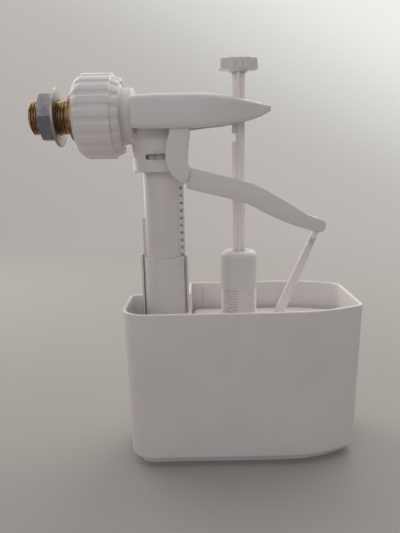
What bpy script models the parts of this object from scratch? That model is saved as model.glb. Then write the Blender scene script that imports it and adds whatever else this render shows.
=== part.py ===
# Side-inlet toilet fill valve: servo head, telescopic riser, float in an open-top chamber.
# Blender 4.5, metres, +Z up. The chamber stands on its foot at Z = 0.
# Positions below are taken from the riser's axis; one empty then centres the whole on the origin.

import math

import bmesh
import bpy
from mathutils import Matrix, Vector

for old in list(bpy.data.objects):
    bpy.data.objects.remove(old, do_unlink=True)

mm = 0.001

# Clearances
touch_gap = 0.3 * mm
slide_gap = 0.3 * mm
pivot_gap = 0.3 * mm
open_pivot_gap = 0.6 * mm
float_gap = 1.5 * mm

# Chamber
foot_h = 4.0 * mm
foot_wall = 2.0 * mm
foot_inset = 6.0 * mm
chamber_h = 78.8 * mm
chamber_left = -21.8 * mm
chamber_right = 100.5 * mm
chamber_front = -35.0 * mm
chamber_back = 29.0 * mm
shallow_back = 3.7 * mm
step_x = 11.8 * mm
chamber_wall = 1.8 * mm
floor_t = 2.0 * mm
draft = 1.4 * mm
end_sweep_front = 10.8 * mm
end_sweep_front_len = 22.5 * mm
end_sweep_back = 8.2 * mm
end_sweep_back_len = 20.5 * mm
back_rib_w = 1.0 * mm
back_rib_d = 1.1 * mm
back_rib_xs = (21.0 * mm, 65.4 * mm)
rim_z = foot_h + chamber_h
floor_z = foot_h + floor_t

# Riser and the chamber's sleeve
riser_r = 9.1 * mm
riser_wall = 1.5 * mm
riser_below_rim = 48.0 * mm
sleeve_wall = 1.2 * mm
sleeve_above_rim = 22.3 * mm
guide_above_sleeve = 1.2 * mm
guide_wall = 1.1 * mm
fin_t = 1.6 * mm
fin_reach = 2.1 * mm
fin_y = -4.2 * mm
fin_top_above_rim = 64.2 * mm
rack_pitch = 3.85 * mm
rack_hole_r = 0.7 * mm
rack_holes = 24
rack_top_above_rim = fin_top_above_rim - 2.05 * mm
rib_t = 1.0 * mm
rib_reach = 2.2 * mm
rib_top_above_rim = 42.8 * mm

# Head
inlet_above_rim = 94.5 * mm
spigot_r = 16.4 * mm
collar_r = spigot_r - 2.4 * mm
collar_x0 = -18.1 * mm
collar_x1 = -12.5 * mm
bell_r = 14.8 * mm
bell_wall = 1.5 * mm
bell_below_inlet = 28.2 * mm
bell_top_below_inlet = 12.1 * mm
neck_r = 9.8 * mm
neck_top_below_inlet = 8.3 * mm
socket_wall = 1.7 * mm
diaphragm_r = collar_r - 2.4 * mm
diaphragm_t = 2.2 * mm
jet_r = 2.2 * mm
jet_bore_r = 0.6 * mm
jet_len = 2.2 * mm
pad_r = 2.6 * mm
pad_t = 1.4 * mm

# Inlet, nut and shank
shank_r = 8.33 * mm
shank_wall = 2.73 * mm
shank_bore_r = shank_r - shank_wall
shank_end_x = -64.5 * mm
shoulder_r = 11.9 * mm
shoulder_t = 1.9 * mm
nut_face_x = -42.0 * mm
nut_end_x = -18.5 * mm
nut_wall = 4.2 * mm
nut_band_r = spigot_r + touch_gap + nut_wall
nut_face_r = nut_band_r - 5.4 * mm
nut_band_x0 = -37.9 * mm
nut_band_x1 = -22.6 * mm
nut_end_r = nut_band_r - 2.65 * mm
nut_step_r = nut_band_r - 1.55 * mm
nut_lip = 3.2 * mm
nut_grips = 20
nut_grip_depth = 0.7 * mm
tail_ring_t = 1.8 * mm
tail_ring_r = spigot_r - 1.2 * mm
gasket_t = 1.6 * mm
backnut_wall = 2.72 * mm
backnut_af = 2 * (shank_r + backnut_wall)
backnut_t = 7.2 * mm
washer_rim = 6.07 * mm
washer_r = shank_r + washer_rim
washer_t = 1.5 * mm
washer_face_x = -50.5 * mm

# Guard over the lever
guard_front = -22.4 * mm
guard_back = 8.4 * mm
guard_wall = 1.4 * mm
guard_tip = 54.9 * mm
guard_half = 8.0 * mm
guard_open_below = 12.0 * mm
guard_straight_to = 17.0 * mm

# Lever
lever_pivot_x = 3.5 * mm
lever_pivot_below = 4.6 * mm
lever_pin_r = 1.5 * mm
lug_front = -20.4 * mm
lug_back = -15.2 * mm
arm_front = -18.8 * mm
arm_back = -12.6 * mm
arm_web = 1.8 * mm
arm_edge = 1.4 * mm
tip_x = 78.4 * mm
tip_above_rim = 39.2 * mm
tip_r = 3.2 * mm
link_pin_r = 1.2 * mm
lever_swing = math.radians(7.5)

# Link, spindle and float
spindle_x = 39.2 * mm
spindle_y = -7.0 * mm
stub_below_rim = 54.0 * mm
link_w = 4.8 * mm
link_w_top = 3.2 * mm
link_t = 2.8 * mm
stub_r = 1.6 * mm
rod_w = 6.5 * mm
rod_web = 1.5 * mm
knob_r = 9.3 * mm
knob_t = 5.4 * mm
knob_top_above_rim = 119.8 * mm
knob_grips = 18
cylinder_r = 9.35 * mm
cylinder_wall = 1.3 * mm
cylinder_top_above_rim = 26.8 * mm
cylinder_below_rim = 22.4 * mm
float_below_rim = 13.4 * mm
float_h = 50.0 * mm
float_wall = 1.6 * mm
float_top = 1.8 * mm
well_gap = 1.2 * mm
collar_ring_wall = 2.2 * mm
collar_ring_h = 5.6 * mm

# Drain flap
drain_w = 10.0 * mm
drain_h = 9.0 * mm
drain_y = 17.0 * mm
drain_z = 9.0 * mm
flap_t = 1.2 * mm
flap_margin = 1.6 * mm
flap_pin_r = 0.8 * mm

inlet_z = rim_z + inlet_above_rim
centre_x = -(shank_end_x + chamber_right) / 2
centre_y = -(chamber_front + chamber_back) / 2

parts = bpy.data.collections.new("toilet_fill_valve")
tools = bpy.data.collections.new("cutters")
bpy.context.scene.collection.children.link(parts)
bpy.context.scene.collection.children.link(tools)

frame = bpy.data.objects.new("riser_axis", None)
frame.location = (centre_x, centre_y, 0.0)
parts.objects.link(frame)


def material(name, rgb, rough, metal=0.0):
    mat = bpy.data.materials.new(name)
    mat.use_nodes = True
    shader = mat.node_tree.nodes["Principled BSDF"]
    shader.inputs["Base Color"].default_value = (*rgb, 1.0)
    shader.inputs["Roughness"].default_value = rough
    shader.inputs["Metallic"].default_value = metal
    return mat


def place(name, mesh, mat=None, pivot=(0, 0, 0)):
    # Puts a mesh, drawn from the riser's axis, on an object whose origin is the given pivot.
    for old_mat in list(mesh.materials):
        mesh.materials.pop()
    obj = bpy.data.objects.new(name, mesh)
    mesh.transform(Matrix.Translation(-Vector(pivot)))
    obj.location = pivot
    obj.parent = frame
    if mat is None:
        tools.objects.link(obj)
        obj.hide_render = True
        obj.display_type = "WIRE"
    else:
        parts.objects.link(obj)
        mesh.materials.append(mat)
    return obj


def box_mesh(x0, x1, y0, y1, z0, z1):
    bm = bmesh.new()
    bmesh.ops.create_cube(bm, size=1.0)
    size = Matrix.Diagonal((x1 - x0, y1 - y0, z1 - z0, 1.0))
    middle = Matrix.Translation(((x0 + x1) / 2, (y0 + y1) / 2, (z0 + z1) / 2))
    bmesh.ops.transform(bm, matrix=middle @ size, verts=bm.verts)
    mesh = bpy.data.meshes.new("box")
    bm.to_mesh(mesh)
    bm.free()
    return mesh


def along(axis):
    # Turns local Z onto the named world axis.
    if axis == "X":
        return Matrix(((0, 0, 1, 0), (1, 0, 0, 0), (0, 1, 0, 0), (0, 0, 0, 1)))
    if axis == "Y":
        return Matrix(((1, 0, 0, 0), (0, 0, -1, 0), (0, 1, 0, 0), (0, 0, 0, 1)))
    return Matrix.Identity(4)


def rod_mesh(axis, r0, r1, a, b, centre, sides=32, turn=0.0):
    # A cylinder or cone along an axis from a to b; centre is the point on its axis.
    bm = bmesh.new()
    spin = Matrix.Rotation(turn, 4, "Z")
    low, high = (r0, r1)
    if axis == "Y":
        low, high = (r1, r0)
    bmesh.ops.create_cone(
        bm, cap_ends=True, segments=sides, radius1=low, radius2=high, depth=abs(b - a), matrix=spin
    )
    spot = Vector(centre)
    spot["XYZ".index(axis)] = (a + b) / 2
    bmesh.ops.transform(bm, matrix=Matrix.Translation(spot) @ along(axis), verts=bm.verts)
    mesh = bpy.data.meshes.new("rod")
    bm.to_mesh(mesh)
    bm.free()
    return mesh


def prism_mesh(points, a, b, axis="Z"):
    # A flat outline, filled and extruded from a to b along an axis.
    curve = bpy.data.curves.new("outline", "CURVE")
    curve.dimensions = "2D"
    curve.fill_mode = "BOTH"
    curve.extrude = abs(b - a) / 2
    spline = curve.splines.new("POLY")
    spline.points.add(len(points) - 1)
    for spot, (u, v) in zip(spline.points, points):
        spot.co = (u, v, 0.0, 1.0)
    spline.use_cyclic_u = True
    holder = bpy.data.objects.new("outline", curve)
    bpy.context.scene.collection.objects.link(holder)
    bpy.context.view_layer.update()
    solid = holder.evaluated_get(bpy.context.evaluated_depsgraph_get())
    mesh = bpy.data.meshes.new_from_object(solid)
    bpy.data.objects.remove(holder, do_unlink=True)
    bm = bmesh.new()
    bm.from_mesh(mesh)
    bmesh.ops.remove_doubles(bm, verts=bm.verts, dist=1e-6)
    bmesh.ops.recalc_face_normals(bm, faces=bm.faces)
    spot = Vector((0, 0, 0))
    spot["XYZ".index(axis)] = (a + b) / 2
    bmesh.ops.transform(bm, matrix=Matrix.Translation(spot) @ along(axis), verts=bm.verts)
    bm.to_mesh(mesh)
    bm.free()
    return mesh


def rounded(corners, facet=math.radians(18)):
    # Corner points with a radius each become an outline with true arcs.
    points = []
    count = len(corners)
    for i, (x, y, r) in enumerate(corners):
        here = Vector((x, y))
        back = (Vector(corners[i - 1][:2]) - here).normalized()
        ahead = (Vector(corners[(i + 1) % count][:2]) - here).normalized()
        if r <= 0:
            points.append((x, y))
            continue
        half = back.angle(ahead) / 2
        reach = r / math.tan(half)
        middle = here + (back + ahead).normalized() * (r / math.sin(half))
        start = here + back * reach - middle
        turn = math.pi - 2 * half
        if back.x * ahead.y - back.y * ahead.x > 0:
            turn = -turn
        steps = max(2, math.ceil(abs(turn) / facet))
        for k in range(steps + 1):
            spin = Matrix.Rotation(turn * k / steps, 2)
            points.append(tuple(middle + spin @ start))
    return points


def inset(corners, by):
    # The same corners moved inwards by a wall; the outline runs anticlockwise.
    moved = []
    count = len(corners)
    for i, (x, y, r) in enumerate(corners):
        here = Vector((x, y))
        before = (here - Vector(corners[i - 1][:2])).normalized()
        after = (Vector(corners[(i + 1) % count][:2]) - here).normalized()
        n1 = Vector((-before.y, before.x))
        n2 = Vector((-after.y, after.x))
        shift = (n1 + n2) * (by / (1 + n1.dot(n2)))
        bend = before.x * after.y - before.y * after.x
        radius = max(r - by, 0.4 * mm) if bend > 0 else r + by
        moved.append((x + shift.x, y + shift.y, radius))
    return moved


def taper(mesh, z0, z1, lost):
    # Draws the lower end of a moulding in, as its draft does.
    mid_x = (chamber_left + chamber_right) / 2
    mid_y = (chamber_front + chamber_back) / 2
    half_x = (chamber_right - chamber_left) / 2
    half_y = (chamber_back - chamber_front) / 2
    for vert in mesh.vertices:
        part = lost * (z1 - vert.co.z) / (z1 - z0)
        vert.co.x = mid_x + (vert.co.x - mid_x) * (1 - part / half_x)
        vert.co.y = mid_y + (vert.co.y - mid_y) * (1 - part / half_y)
    return mesh


def smooth_line(points, steps):
    # A curve through all control points, with the same number of steps between each pair.
    ends = [points[0]] + list(points) + [points[-1]]
    out = []
    for i in range(1, len(ends) - 2):
        p0, p1, p2, p3 = (Vector(p) for p in ends[i - 1 : i + 3])
        for k in range(steps):
            t = k / steps
            a = 2 * p1 + (p2 - p0) * t
            b = (2 * p0 - 5 * p1 + 4 * p2 - p3) * t * t
            c = (3 * p1 - p0 - 3 * p2 + p3) * t * t * t
            out.append((a + b + c) / 2)
    out.append(Vector(points[-1]))
    return out


def circle(r, sides, centre=(0, 0), turn=0.0):
    spots = (turn + 2 * math.pi * k / sides for k in range(sides))
    return [(centre[0] + r * math.cos(a), centre[1] + r * math.sin(a)) for a in spots]


def scallops(count, r_high, r_low, per=4):
    # A round outline with grip ribs.
    points = []
    for k in range(count * per):
        r = r_high if k % per < per / 2 else r_low
        a = 2 * math.pi * (k + 0.5) / (count * per)
        points.append((r * math.cos(a), r * math.sin(a)))
    return points


def turned(name, profile, axis, centre, mat, sides=40, loop=True):
    # A profile of (radius, height) pairs turned about an axis; its outer side runs downwards.
    mesh = bpy.data.meshes.new(name)
    bm = bmesh.new()
    ring = [bm.verts.new((r, 0.0, h)) for r, h in profile]
    for k in range(len(ring) if loop else len(ring) - 1):
        bm.edges.new((ring[k], ring[(k + 1) % len(ring)]))
    bm.to_mesh(mesh)
    bm.free()
    obj = place(name, mesh, mat)
    obj.location = centre
    if axis == "X":
        obj.rotation_euler = (0.0, math.pi / 2, 0.0)
    screw = obj.modifiers.new("turn", "SCREW")
    screw.steps = sides
    screw.render_steps = sides
    screw.use_merge_vertices = True
    screw.merge_threshold = 1e-6
    screw.use_normal_calculate = False
    return obj


def carve(obj, mesh, name="cut", how="DIFFERENCE"):
    tool = place(obj.name + "_" + name, mesh)
    step = obj.modifiers.new(name, "BOOLEAN")
    step.operation = how
    step.solver = "EXACT"
    step.object = tool
    return tool


def fuse(obj, mesh, name="add"):
    return carve(obj, mesh, name, "UNION")


def soften(obj, width, sides=1, angle=50):
    step = obj.modifiers.new("edge", "BEVEL")
    step.width = width
    step.segments = sides
    step.limit_method = "ANGLE"
    step.angle_limit = math.radians(angle)
    step.harden_normals = False
    return step


white = material("white_moulding", (0.80, 0.80, 0.79), 0.42)
clear_white = material("natural_moulding", (0.84, 0.83, 0.83), 0.36)
brass = material("turned_brass", (0.72, 0.50, 0.20), 0.30, 1.0)
steel = material("zinc_plated_steel", (0.42, 0.43, 0.47), 0.36, 1.0)
washer_steel = material("washer_steel", (0.58, 0.58, 0.59), 0.34, 1.0)
rubber = material("black_rubber", (0.03, 0.03, 0.03), 0.70)


def up(height):
    # A height above the rim as a height above the ground.
    return rim_z + height


def drafted_x(x, z):
    mid_x = (chamber_left + chamber_right) / 2
    part = draft * (rim_z - z) / chamber_h
    return mid_x + (x - mid_x) * (1 - part / ((chamber_right - chamber_left) / 2))


axis_point = (0.0, 0.0, inlet_z)

# Chamber: an L in plan, so that the sleeve stands in its step, with both right corners swept in
outline = [
    (chamber_left, chamber_front, 8.0 * mm),
    (chamber_right - end_sweep_front_len, chamber_front, 70.0 * mm),
    (chamber_right, chamber_front + end_sweep_front, 5.0 * mm),
    (chamber_right, chamber_back - end_sweep_back, 5.0 * mm),
    (chamber_right - end_sweep_back_len, chamber_back, 45.0 * mm),
    (step_x, chamber_back, 2.5 * mm),
    (step_x, shallow_back, 1.5 * mm),
    (chamber_left, shallow_back, 4.0 * mm),
]
shell = taper(prism_mesh(rounded(outline), foot_h, rim_z), foot_h, rim_z, draft)
chamber = place("float_chamber", shell, white)
foot_line = inset(outline, foot_inset)
fuse(chamber, prism_mesh(rounded(foot_line), 0.0, foot_h + floor_t / 2), "foot")
room = prism_mesh(rounded(inset(outline, chamber_wall)), floor_z, rim_z + 5 * mm)
carve(chamber, taper(room, foot_h, rim_z, draft), "room")
carve(chamber, prism_mesh(rounded(inset(foot_line, foot_wall)), -mm, foot_h), "foot_room")

# Two ribs keep the float off the back wall
for number, rib_x in enumerate(back_rib_xs):
    y1 = chamber_back - chamber_wall + 0.4 * mm
    y0 = chamber_back - chamber_wall - back_rib_d
    rib = box_mesh(rib_x, rib_x + back_rib_w, y0, y1, floor_z - 0.5 * mm, rim_z - 1.5 * mm)
    fuse(chamber, taper(rib, foot_h, rim_z, draft), "rib_%d" % number)

# Sleeve with a channel on each side for the riser's rib and its rack
sleeve_bore = riser_r + slide_gap
sleeve_r = sleeve_bore + sleeve_wall
sleeve_top = up(sleeve_above_rim)
guide_top = sleeve_top + guide_above_sleeve
fin_edge = riser_r + fin_reach
fin_front = fin_y - fin_t / 2
fin_back = fin_y + fin_t / 2
rib_edge = riser_r + rib_reach
sleeve_start = foot_h
fuse(chamber, rod_mesh("Z", sleeve_r, sleeve_r, sleeve_start, sleeve_top, (0, 0, 0), 40), "sleeve")
left_guide = box_mesh(
    -rib_edge - slide_gap - guide_wall,
    -riser_r,
    -rib_t / 2 - slide_gap - guide_wall,
    rib_t / 2 + slide_gap + guide_wall,
    sleeve_start,
    guide_top,
)
fuse(chamber, left_guide, "left_guide")
right_guide = box_mesh(
    riser_r * 0.8,
    fin_edge + slide_gap,
    fin_front - slide_gap - guide_wall,
    fin_back + slide_gap + guide_wall,
    sleeve_start,
    guide_top,
)
fuse(chamber, right_guide, "right_guide")

# Tongue of the height latch, which closes the rack's channel on its right
latch_x = fin_edge + slide_gap + touch_gap
latch_t = 1.2 * mm
latch_base = up(-8.0 * mm)
latch_y0 = fin_front - slide_gap - guide_wall - 0.6 * mm
latch_y1 = fin_back + slide_gap + guide_wall + 0.6 * mm
seat = box_mesh(
    fin_edge - mm, latch_x + latch_t, latch_y0, latch_y1, latch_base - 8 * mm, latch_base - touch_gap
)
fuse(chamber, seat, "latch_seat")
carve(chamber, rod_mesh("Z", sleeve_bore, sleeve_bore, -mm, guide_top + mm, (0, 0, 0), 40), "bore")
rib_slot = box_mesh(
    -rib_edge - slide_gap,
    -riser_r + mm,
    -rib_t / 2 - slide_gap,
    rib_t / 2 + slide_gap,
    -mm,
    guide_top + mm,
)
carve(chamber, rib_slot, "rib_slot")
fin_slot = box_mesh(
    riser_r * 0.7,
    fin_edge + slide_gap,
    fin_front - slide_gap,
    fin_back + slide_gap,
    -mm,
    guide_top + mm,
)
carve(chamber, fin_slot, "fin_slot")

# Drain hole in the step's wall, with the flap's two ears
wall_x = drafted_x(step_x, drain_z + drain_h)
hole = box_mesh(
    step_x - 3 * mm, step_x + 4 * mm, drain_y - drain_w / 2, drain_y + drain_w / 2, drain_z, drain_z + drain_h
)
carve(chamber, hole, "drain")
flap_half = drain_w / 2 + flap_margin
pin_z = drain_z + drain_h + flap_margin + 1.4 * mm
pin_x = wall_x - touch_gap - flap_t - 0.6 * mm
ear_t = 1.4 * mm
for side in (-1, 1):
    near = drain_y + side * (flap_half + pivot_gap)
    far = near + side * ear_t
    ear = box_mesh(
        pin_x - 1.6 * mm, wall_x + 0.8 * mm, min(near, far), max(near, far), pin_z - 1.6 * mm, pin_z + 1.6 * mm
    )
    fuse(chamber, ear, "ear_%d" % (side + 1))
pin_hole = flap_pin_r + slide_gap
ear_out = flap_half + pivot_gap + ear_t
carve(
    chamber,
    rod_mesh("Y", pin_hole, pin_hole, drain_y - ear_out - mm, drain_y + ear_out + mm, (pin_x, 0, pin_z), 12),
    "pin_hole",
)
# Water leaves under the foot through two gaps at the back
for number, (gap_x0, gap_x1) in enumerate(((24.0 * mm, 44.0 * mm), (56.0 * mm, 76.0 * mm))):
    gap = box_mesh(gap_x0, gap_x1, chamber_back - 16 * mm, chamber_back, -mm, foot_h)
    carve(chamber, gap, "foot_gap_%d" % number)

place(
    "flap_pin",
    rod_mesh(
        "Y", flap_pin_r, flap_pin_r, drain_y - ear_out, drain_y + ear_out, (pin_x, 0, pin_z), 12
    ),
    white,
    (pin_x, drain_y, pin_z),
)
flap_x1 = wall_x - touch_gap
flap = place(
    "drain_flap",
    box_mesh(
        flap_x1 - flap_t,
        flap_x1,
        drain_y - flap_half,
        drain_y + flap_half,
        drain_z - flap_margin,
        pin_z,
    ),
    rubber,
    (pin_x, drain_y, pin_z),
)
barrel = flap_pin_r + slide_gap + 0.9 * mm
fuse(
    flap,
    rod_mesh("Y", barrel, barrel, drain_y - flap_half, drain_y + flap_half, (pin_x, 0, pin_z), 16),
    "barrel",
)
carve(
    flap,
    rod_mesh("Y", pin_hole, pin_hole, drain_y - ear_out, drain_y + ear_out, (pin_x, 0, pin_z), 12),
    "pin_hole",
)

latch = place(
    "height_latch",
    box_mesh(latch_x, latch_x + latch_t, latch_y0, latch_y1, latch_base, guide_top),
    white,
    (latch_x + latch_t / 2, fin_y, latch_base),
)

# Riser tube with its rack and rib
riser_top = inlet_z - bell_top_below_inlet - 1.6 * mm
riser_end = up(-riser_below_rim)
riser_bore = riser_r - riser_wall
riser = turned(
    "riser_tube",
    [(riser_r, riser_top), (riser_r, riser_end), (riser_bore, riser_end), (riser_bore, riser_top)],
    "Z",
    (0, 0, 0),
    white,
)
fin = box_mesh(riser_r * 0.8, fin_edge, fin_front, fin_back, riser_end, up(fin_top_above_rim))
fuse(riser, fin, "fin")
side_rib = box_mesh(
    -rib_edge, -riser_r + 0.5 * mm, -rib_t / 2, rib_t / 2, riser_end, up(rib_top_above_rim)
)
fuse(riser, side_rib, "rib")
hole_x = fin_edge - 1.55 * mm
for number in range(rack_holes):
    z = up(rack_top_above_rim) - number * rack_pitch
    bore = rod_mesh(
        "Y", rack_hole_r, rack_hole_r, fin_front - mm, fin_back + mm, (hole_x, 0, z), 8, math.pi / 8
    )
    carve(riser, bore, "hole_%02d" % number)

# Valve body: spigot and collar on the inlet axis, neck and bell over the riser
ring_x0 = nut_face_x + nut_lip + touch_gap
ring_x1 = ring_x0 + tail_ring_t
gasket_x0 = ring_x1 + touch_gap
gasket_x1 = gasket_x0 + gasket_t
spigot_x0 = gasket_x1 + touch_gap
spigot_x1 = nut_end_x - touch_gap
cavity_r = diaphragm_r + touch_gap
cavity_x1 = collar_x1 - 4.6 * mm
bell_end = inlet_z - bell_below_inlet
bell_top = inlet_z - bell_top_below_inlet
neck_top = inlet_z - neck_top_below_inlet
socket_bore = riser_r + touch_gap
channel_top = bell_top + 1.6 * mm
body = turned(
    "valve_body",
    [
        (0.0, neck_top),
        (neck_r, neck_top),
        (neck_r, bell_top),
        (bell_r - mm, bell_top),
        (bell_r, bell_top - mm),
        (bell_r, bell_end),
        (bell_r - bell_wall, bell_end),
        (bell_r - bell_wall, bell_top - 2 * mm),
        (socket_bore + socket_wall, bell_top - 2 * mm),
        (socket_bore + socket_wall, bell_end + 1.5 * mm),
        (socket_bore, bell_end + 1.5 * mm),
        (socket_bore, riser_top + touch_gap),
        (riser_bore, riser_top + touch_gap),
        (riser_bore, channel_top),
        (0.0, channel_top),
    ],
    "Z",
    (0, 0, 0),
    white,
    loop=False,
)
fuse(body, rod_mesh("X", collar_r, collar_r, spigot_x1 - mm, collar_x1, axis_point, 40), "collar")
fuse(body, rod_mesh("X", spigot_r, spigot_r, spigot_x0, spigot_x1, axis_point, 40), "spigot")
block = box_mesh(collar_x1 - mm, -neck_r / 2, -7 * mm, 7 * mm, bell_top - 1.6 * mm, neck_top - 0.3 * mm)
fuse(body, block, "bridge")
# Two ears stand on the neck and hold the lever's pin
pivot_x = lever_pivot_x
pivot_z = inlet_z - lever_pivot_below
ear_r = lever_pin_r + 1.6 * mm
rear_ear = (3.3 * mm, 5.5 * mm)
front_ear = (-9.0 * mm, -6.8 * mm)
for number, (y0, y1) in enumerate((front_ear, rear_ear)):
    ear_low = neck_top - mm
    ear = prism_mesh(
        [
            (pivot_x - ear_r, ear_low),
            (pivot_x + ear_r, ear_low),
            *[(x, z) for x, z in circle(ear_r, 20, (pivot_x, pivot_z)) if z > pivot_z - 0.1 * mm],
        ],
        y0,
        y1,
        "Y",
    )
    fuse(body, ear, "ear_%d" % number)
pin_bore = lever_pin_r + touch_gap
carve(body, rod_mesh("X", cavity_r, cavity_r, spigot_x0 - mm, cavity_x1, axis_point, 36), "cavity")
channel = box_mesh(cavity_x1 - 4 * mm, 0.0, -4 * mm, 4 * mm, bell_top - 0.8 * mm, channel_top)
carve(body, channel, "channel")
carve(
    body,
    rod_mesh("X", jet_r + touch_gap, jet_r + touch_gap, cavity_x1 - mm, collar_x1 + mm, axis_point, 20),
    "jet_hole",
)
carve(
    body,
    rod_mesh("Y", pin_bore, pin_bore, front_ear[0] - mm, rear_ear[1] + mm, (pivot_x, 0, pivot_z), 16),
    "pin_hole",
)

place(
    "lever_pin",
    rod_mesh(
        "Y", lever_pin_r, lever_pin_r, front_ear[0] - 0.5 * mm, rear_ear[1] + 0.5 * mm, (pivot_x, 0, pivot_z), 16
    ),
    steel,
    (pivot_x, 0, pivot_z),
)
place(
    "diaphragm",
    rod_mesh("X", diaphragm_r, diaphragm_r, cavity_x1 - touch_gap - diaphragm_t, cavity_x1 - touch_gap, axis_point, 36),
    rubber,
    axis_point,
)
jet_x0 = cavity_x1 + touch_gap
jet_x1 = collar_x1 + jet_len
jet = place("pilot_jet", rod_mesh("X", jet_r, jet_r, jet_x0, jet_x1, axis_point, 20), white, axis_point)
carve(
    jet,
    rod_mesh("X", jet_bore_r, jet_bore_r, jet_x0 - mm, jet_x1 + mm, axis_point, 12),
    "bore",
)

# Shank, its ring and gasket inside the nut
shank = turned(
    "inlet_shank",
    [
        (shoulder_r, nut_face_x - touch_gap - shoulder_t),
        (shank_r, nut_face_x - touch_gap - shoulder_t - 0.8 * mm),
        (shank_r, shank_end_x + 0.8 * mm),
        (shank_r - 0.8 * mm, shank_end_x),
        (shank_bore_r, shank_end_x),
        (shank_bore_r, ring_x1),
        (shank_r, ring_x1),
        (shank_r, nut_face_x - touch_gap),
        (shoulder_r, nut_face_x - touch_gap),
    ],
    "X",
    axis_point,
    brass,
)
place_ring = turned(
    "tail_ring",
    [
        (tail_ring_r, ring_x1),
        (tail_ring_r, ring_x0),
        (shank_r + touch_gap, ring_x0),
        (shank_r + touch_gap, ring_x1),
    ],
    "X",
    axis_point,
    brass,
    32,
)
gasket = turned(
    "tail_gasket",
    [
        (spigot_r - 0.6 * mm, gasket_x1),
        (spigot_r - 0.6 * mm, gasket_x0),
        (shank_r, gasket_x0),
        (shank_r, gasket_x1),
    ],
    "X",
    axis_point,
    rubber,
    32,
)
strainer_x0 = shank_end_x + 3 * mm
strainer_len = 9.0 * mm
strainer = turned(
    "inlet_strainer",
    [
        (0.0, strainer_x0 + strainer_len),
        (shank_bore_r - touch_gap - 1.2 * mm, strainer_x0 + strainer_len),
        (shank_bore_r - touch_gap, strainer_x0 + 1.5 * mm),
        (shank_bore_r - touch_gap, strainer_x0),
        (shank_bore_r - touch_gap - mm, strainer_x0),
        (shank_bore_r - touch_gap - 2.0 * mm, strainer_x0 + strainer_len - mm),
        (0.0, strainer_x0 + strainer_len - mm),
    ],
    "X",
    axis_point,
    white,
    24,
    loop=False,
)
for number in range(4):
    a = math.pi * number / 4
    slot = box_mesh(
        strainer_x0 + 2.5 * mm, strainer_x0 + strainer_len - 2 * mm, -0.7 * mm, 0.7 * mm, -8 * mm, 8 * mm
    )
    slot.transform(Matrix.Translation((0, 0, inlet_z)) @ Matrix.Rotation(a, 4, "X"))
    carve(strainer, slot, "slot_%d" % number)
restrictor_x0 = strainer_x0 + strainer_len + 2 * mm
restrictor = turned(
    "flow_restrictor",
    [
        (shank_bore_r - touch_gap, restrictor_x0 + 2.4 * mm),
        (shank_bore_r - touch_gap, restrictor_x0),
        (1.6 * mm, restrictor_x0),
        (1.6 * mm, restrictor_x0 + 2.4 * mm),
    ],
    "X",
    axis_point,
    white,
    24,
)

# Union nut: a domed cap with grip ribs round its band
nut_bore = spigot_r + touch_gap
nut = turned(
    "union_nut",
    [
        (nut_end_r, nut_end_x),
        (nut_step_r, nut_band_x1 + 1.2 * mm),
        (nut_step_r, nut_band_x1),
        (nut_band_r, nut_band_x1),
        (nut_band_r, nut_band_x0),
        (nut_band_r - 2.6 * mm, nut_band_x0 - 2.5 * mm),
        (nut_face_r, nut_face_x),
        (shank_r + touch_gap, nut_face_x),
        (shank_r + touch_gap, nut_face_x + nut_lip),
        (nut_bore, nut_face_x + nut_lip),
        (nut_bore, nut_end_x),
    ],
    "X",
    axis_point,
    white,
    48,
)
grip = prism_mesh(
    scallops(nut_grips, nut_band_r + mm, nut_band_r - nut_grip_depth),
    nut_face_x - mm,
    nut_end_x + mm,
    "X",
)
grip.transform(Matrix.Translation((0, 0, inlet_z)))
carve(nut, grip, "grips", "INTERSECT")

# Hexagon backnut and washer, left loose near the shank's end
washer_x1 = washer_face_x
washer_x0 = washer_x1 - washer_t
backnut_x1 = washer_x0 - touch_gap
backnut_x0 = backnut_x1 - backnut_t
thread_fit = shank_r + touch_gap
place_washer = turned(
    "clamp_washer",
    [
        (washer_r, washer_x1),
        (washer_r, washer_x0),
        (thread_fit, washer_x0),
        (thread_fit, washer_x1),
    ],
    "X",
    axis_point,
    washer_steel,
    40,
)
hexagon = circle(backnut_af / 2 / math.cos(math.pi / 6), 6, (0, 0), 0.0)
hex_mesh = prism_mesh(hexagon, backnut_x0, backnut_x1, "X")
hex_mesh.transform(Matrix.Translation((0, 0, inlet_z)))
backnut = place("backnut", hex_mesh, steel, axis_point)
corner = backnut_af / 2 / math.cos(math.pi / 6)
chamfer = rod_mesh(
    "X", corner + 6.0 * mm, backnut_af / 2 - 0.3 * mm, backnut_x0 - 5 * mm, backnut_x1, axis_point, 36
)
carve(backnut, chamfer, "chamfer", "INTERSECT")
carve(
    backnut,
    rod_mesh("X", thread_fit, thread_fit, backnut_x0 - mm, backnut_x1 + mm, axis_point, 36),
    "thread",
)

# Guard: a boat-shaped hollow arm, open below, that covers the lever's head and guides the spindle
guard_left = collar_x1 + touch_gap
guard_form = (
    (0.0, 0.93),
    (0.12, 0.985),
    (0.30, 1.0),
    (0.46, 0.99),
    (0.54, 0.96),
    (0.62, 0.885),
    (0.71, 0.775),
    (0.80, 0.625),
    (0.89, 0.41),
    (0.97, 0.20),
    (1.0, 0.12),
)


def guard_side(half, trim, below):
    # The side view, with a wall taken off for the inside; below deepens it to open the underside.
    start = guard_left - mm if trim > 0 else guard_left
    top = []
    for share, height in guard_form:
        x = start + share * (guard_tip - 3.2 * trim - start)
        top.append((x, max(height * half - trim, 0.3 * mm)))
    curve = [(p.x, p.y) for p in smooth_line(top, 2)]
    if below > 0:
        return [(curve[-1][0], -below), *reversed(curve), (curve[0][0], -below)]
    low = [(x, -z) for x, z in curve]
    return low + list(reversed(curve))


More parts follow.
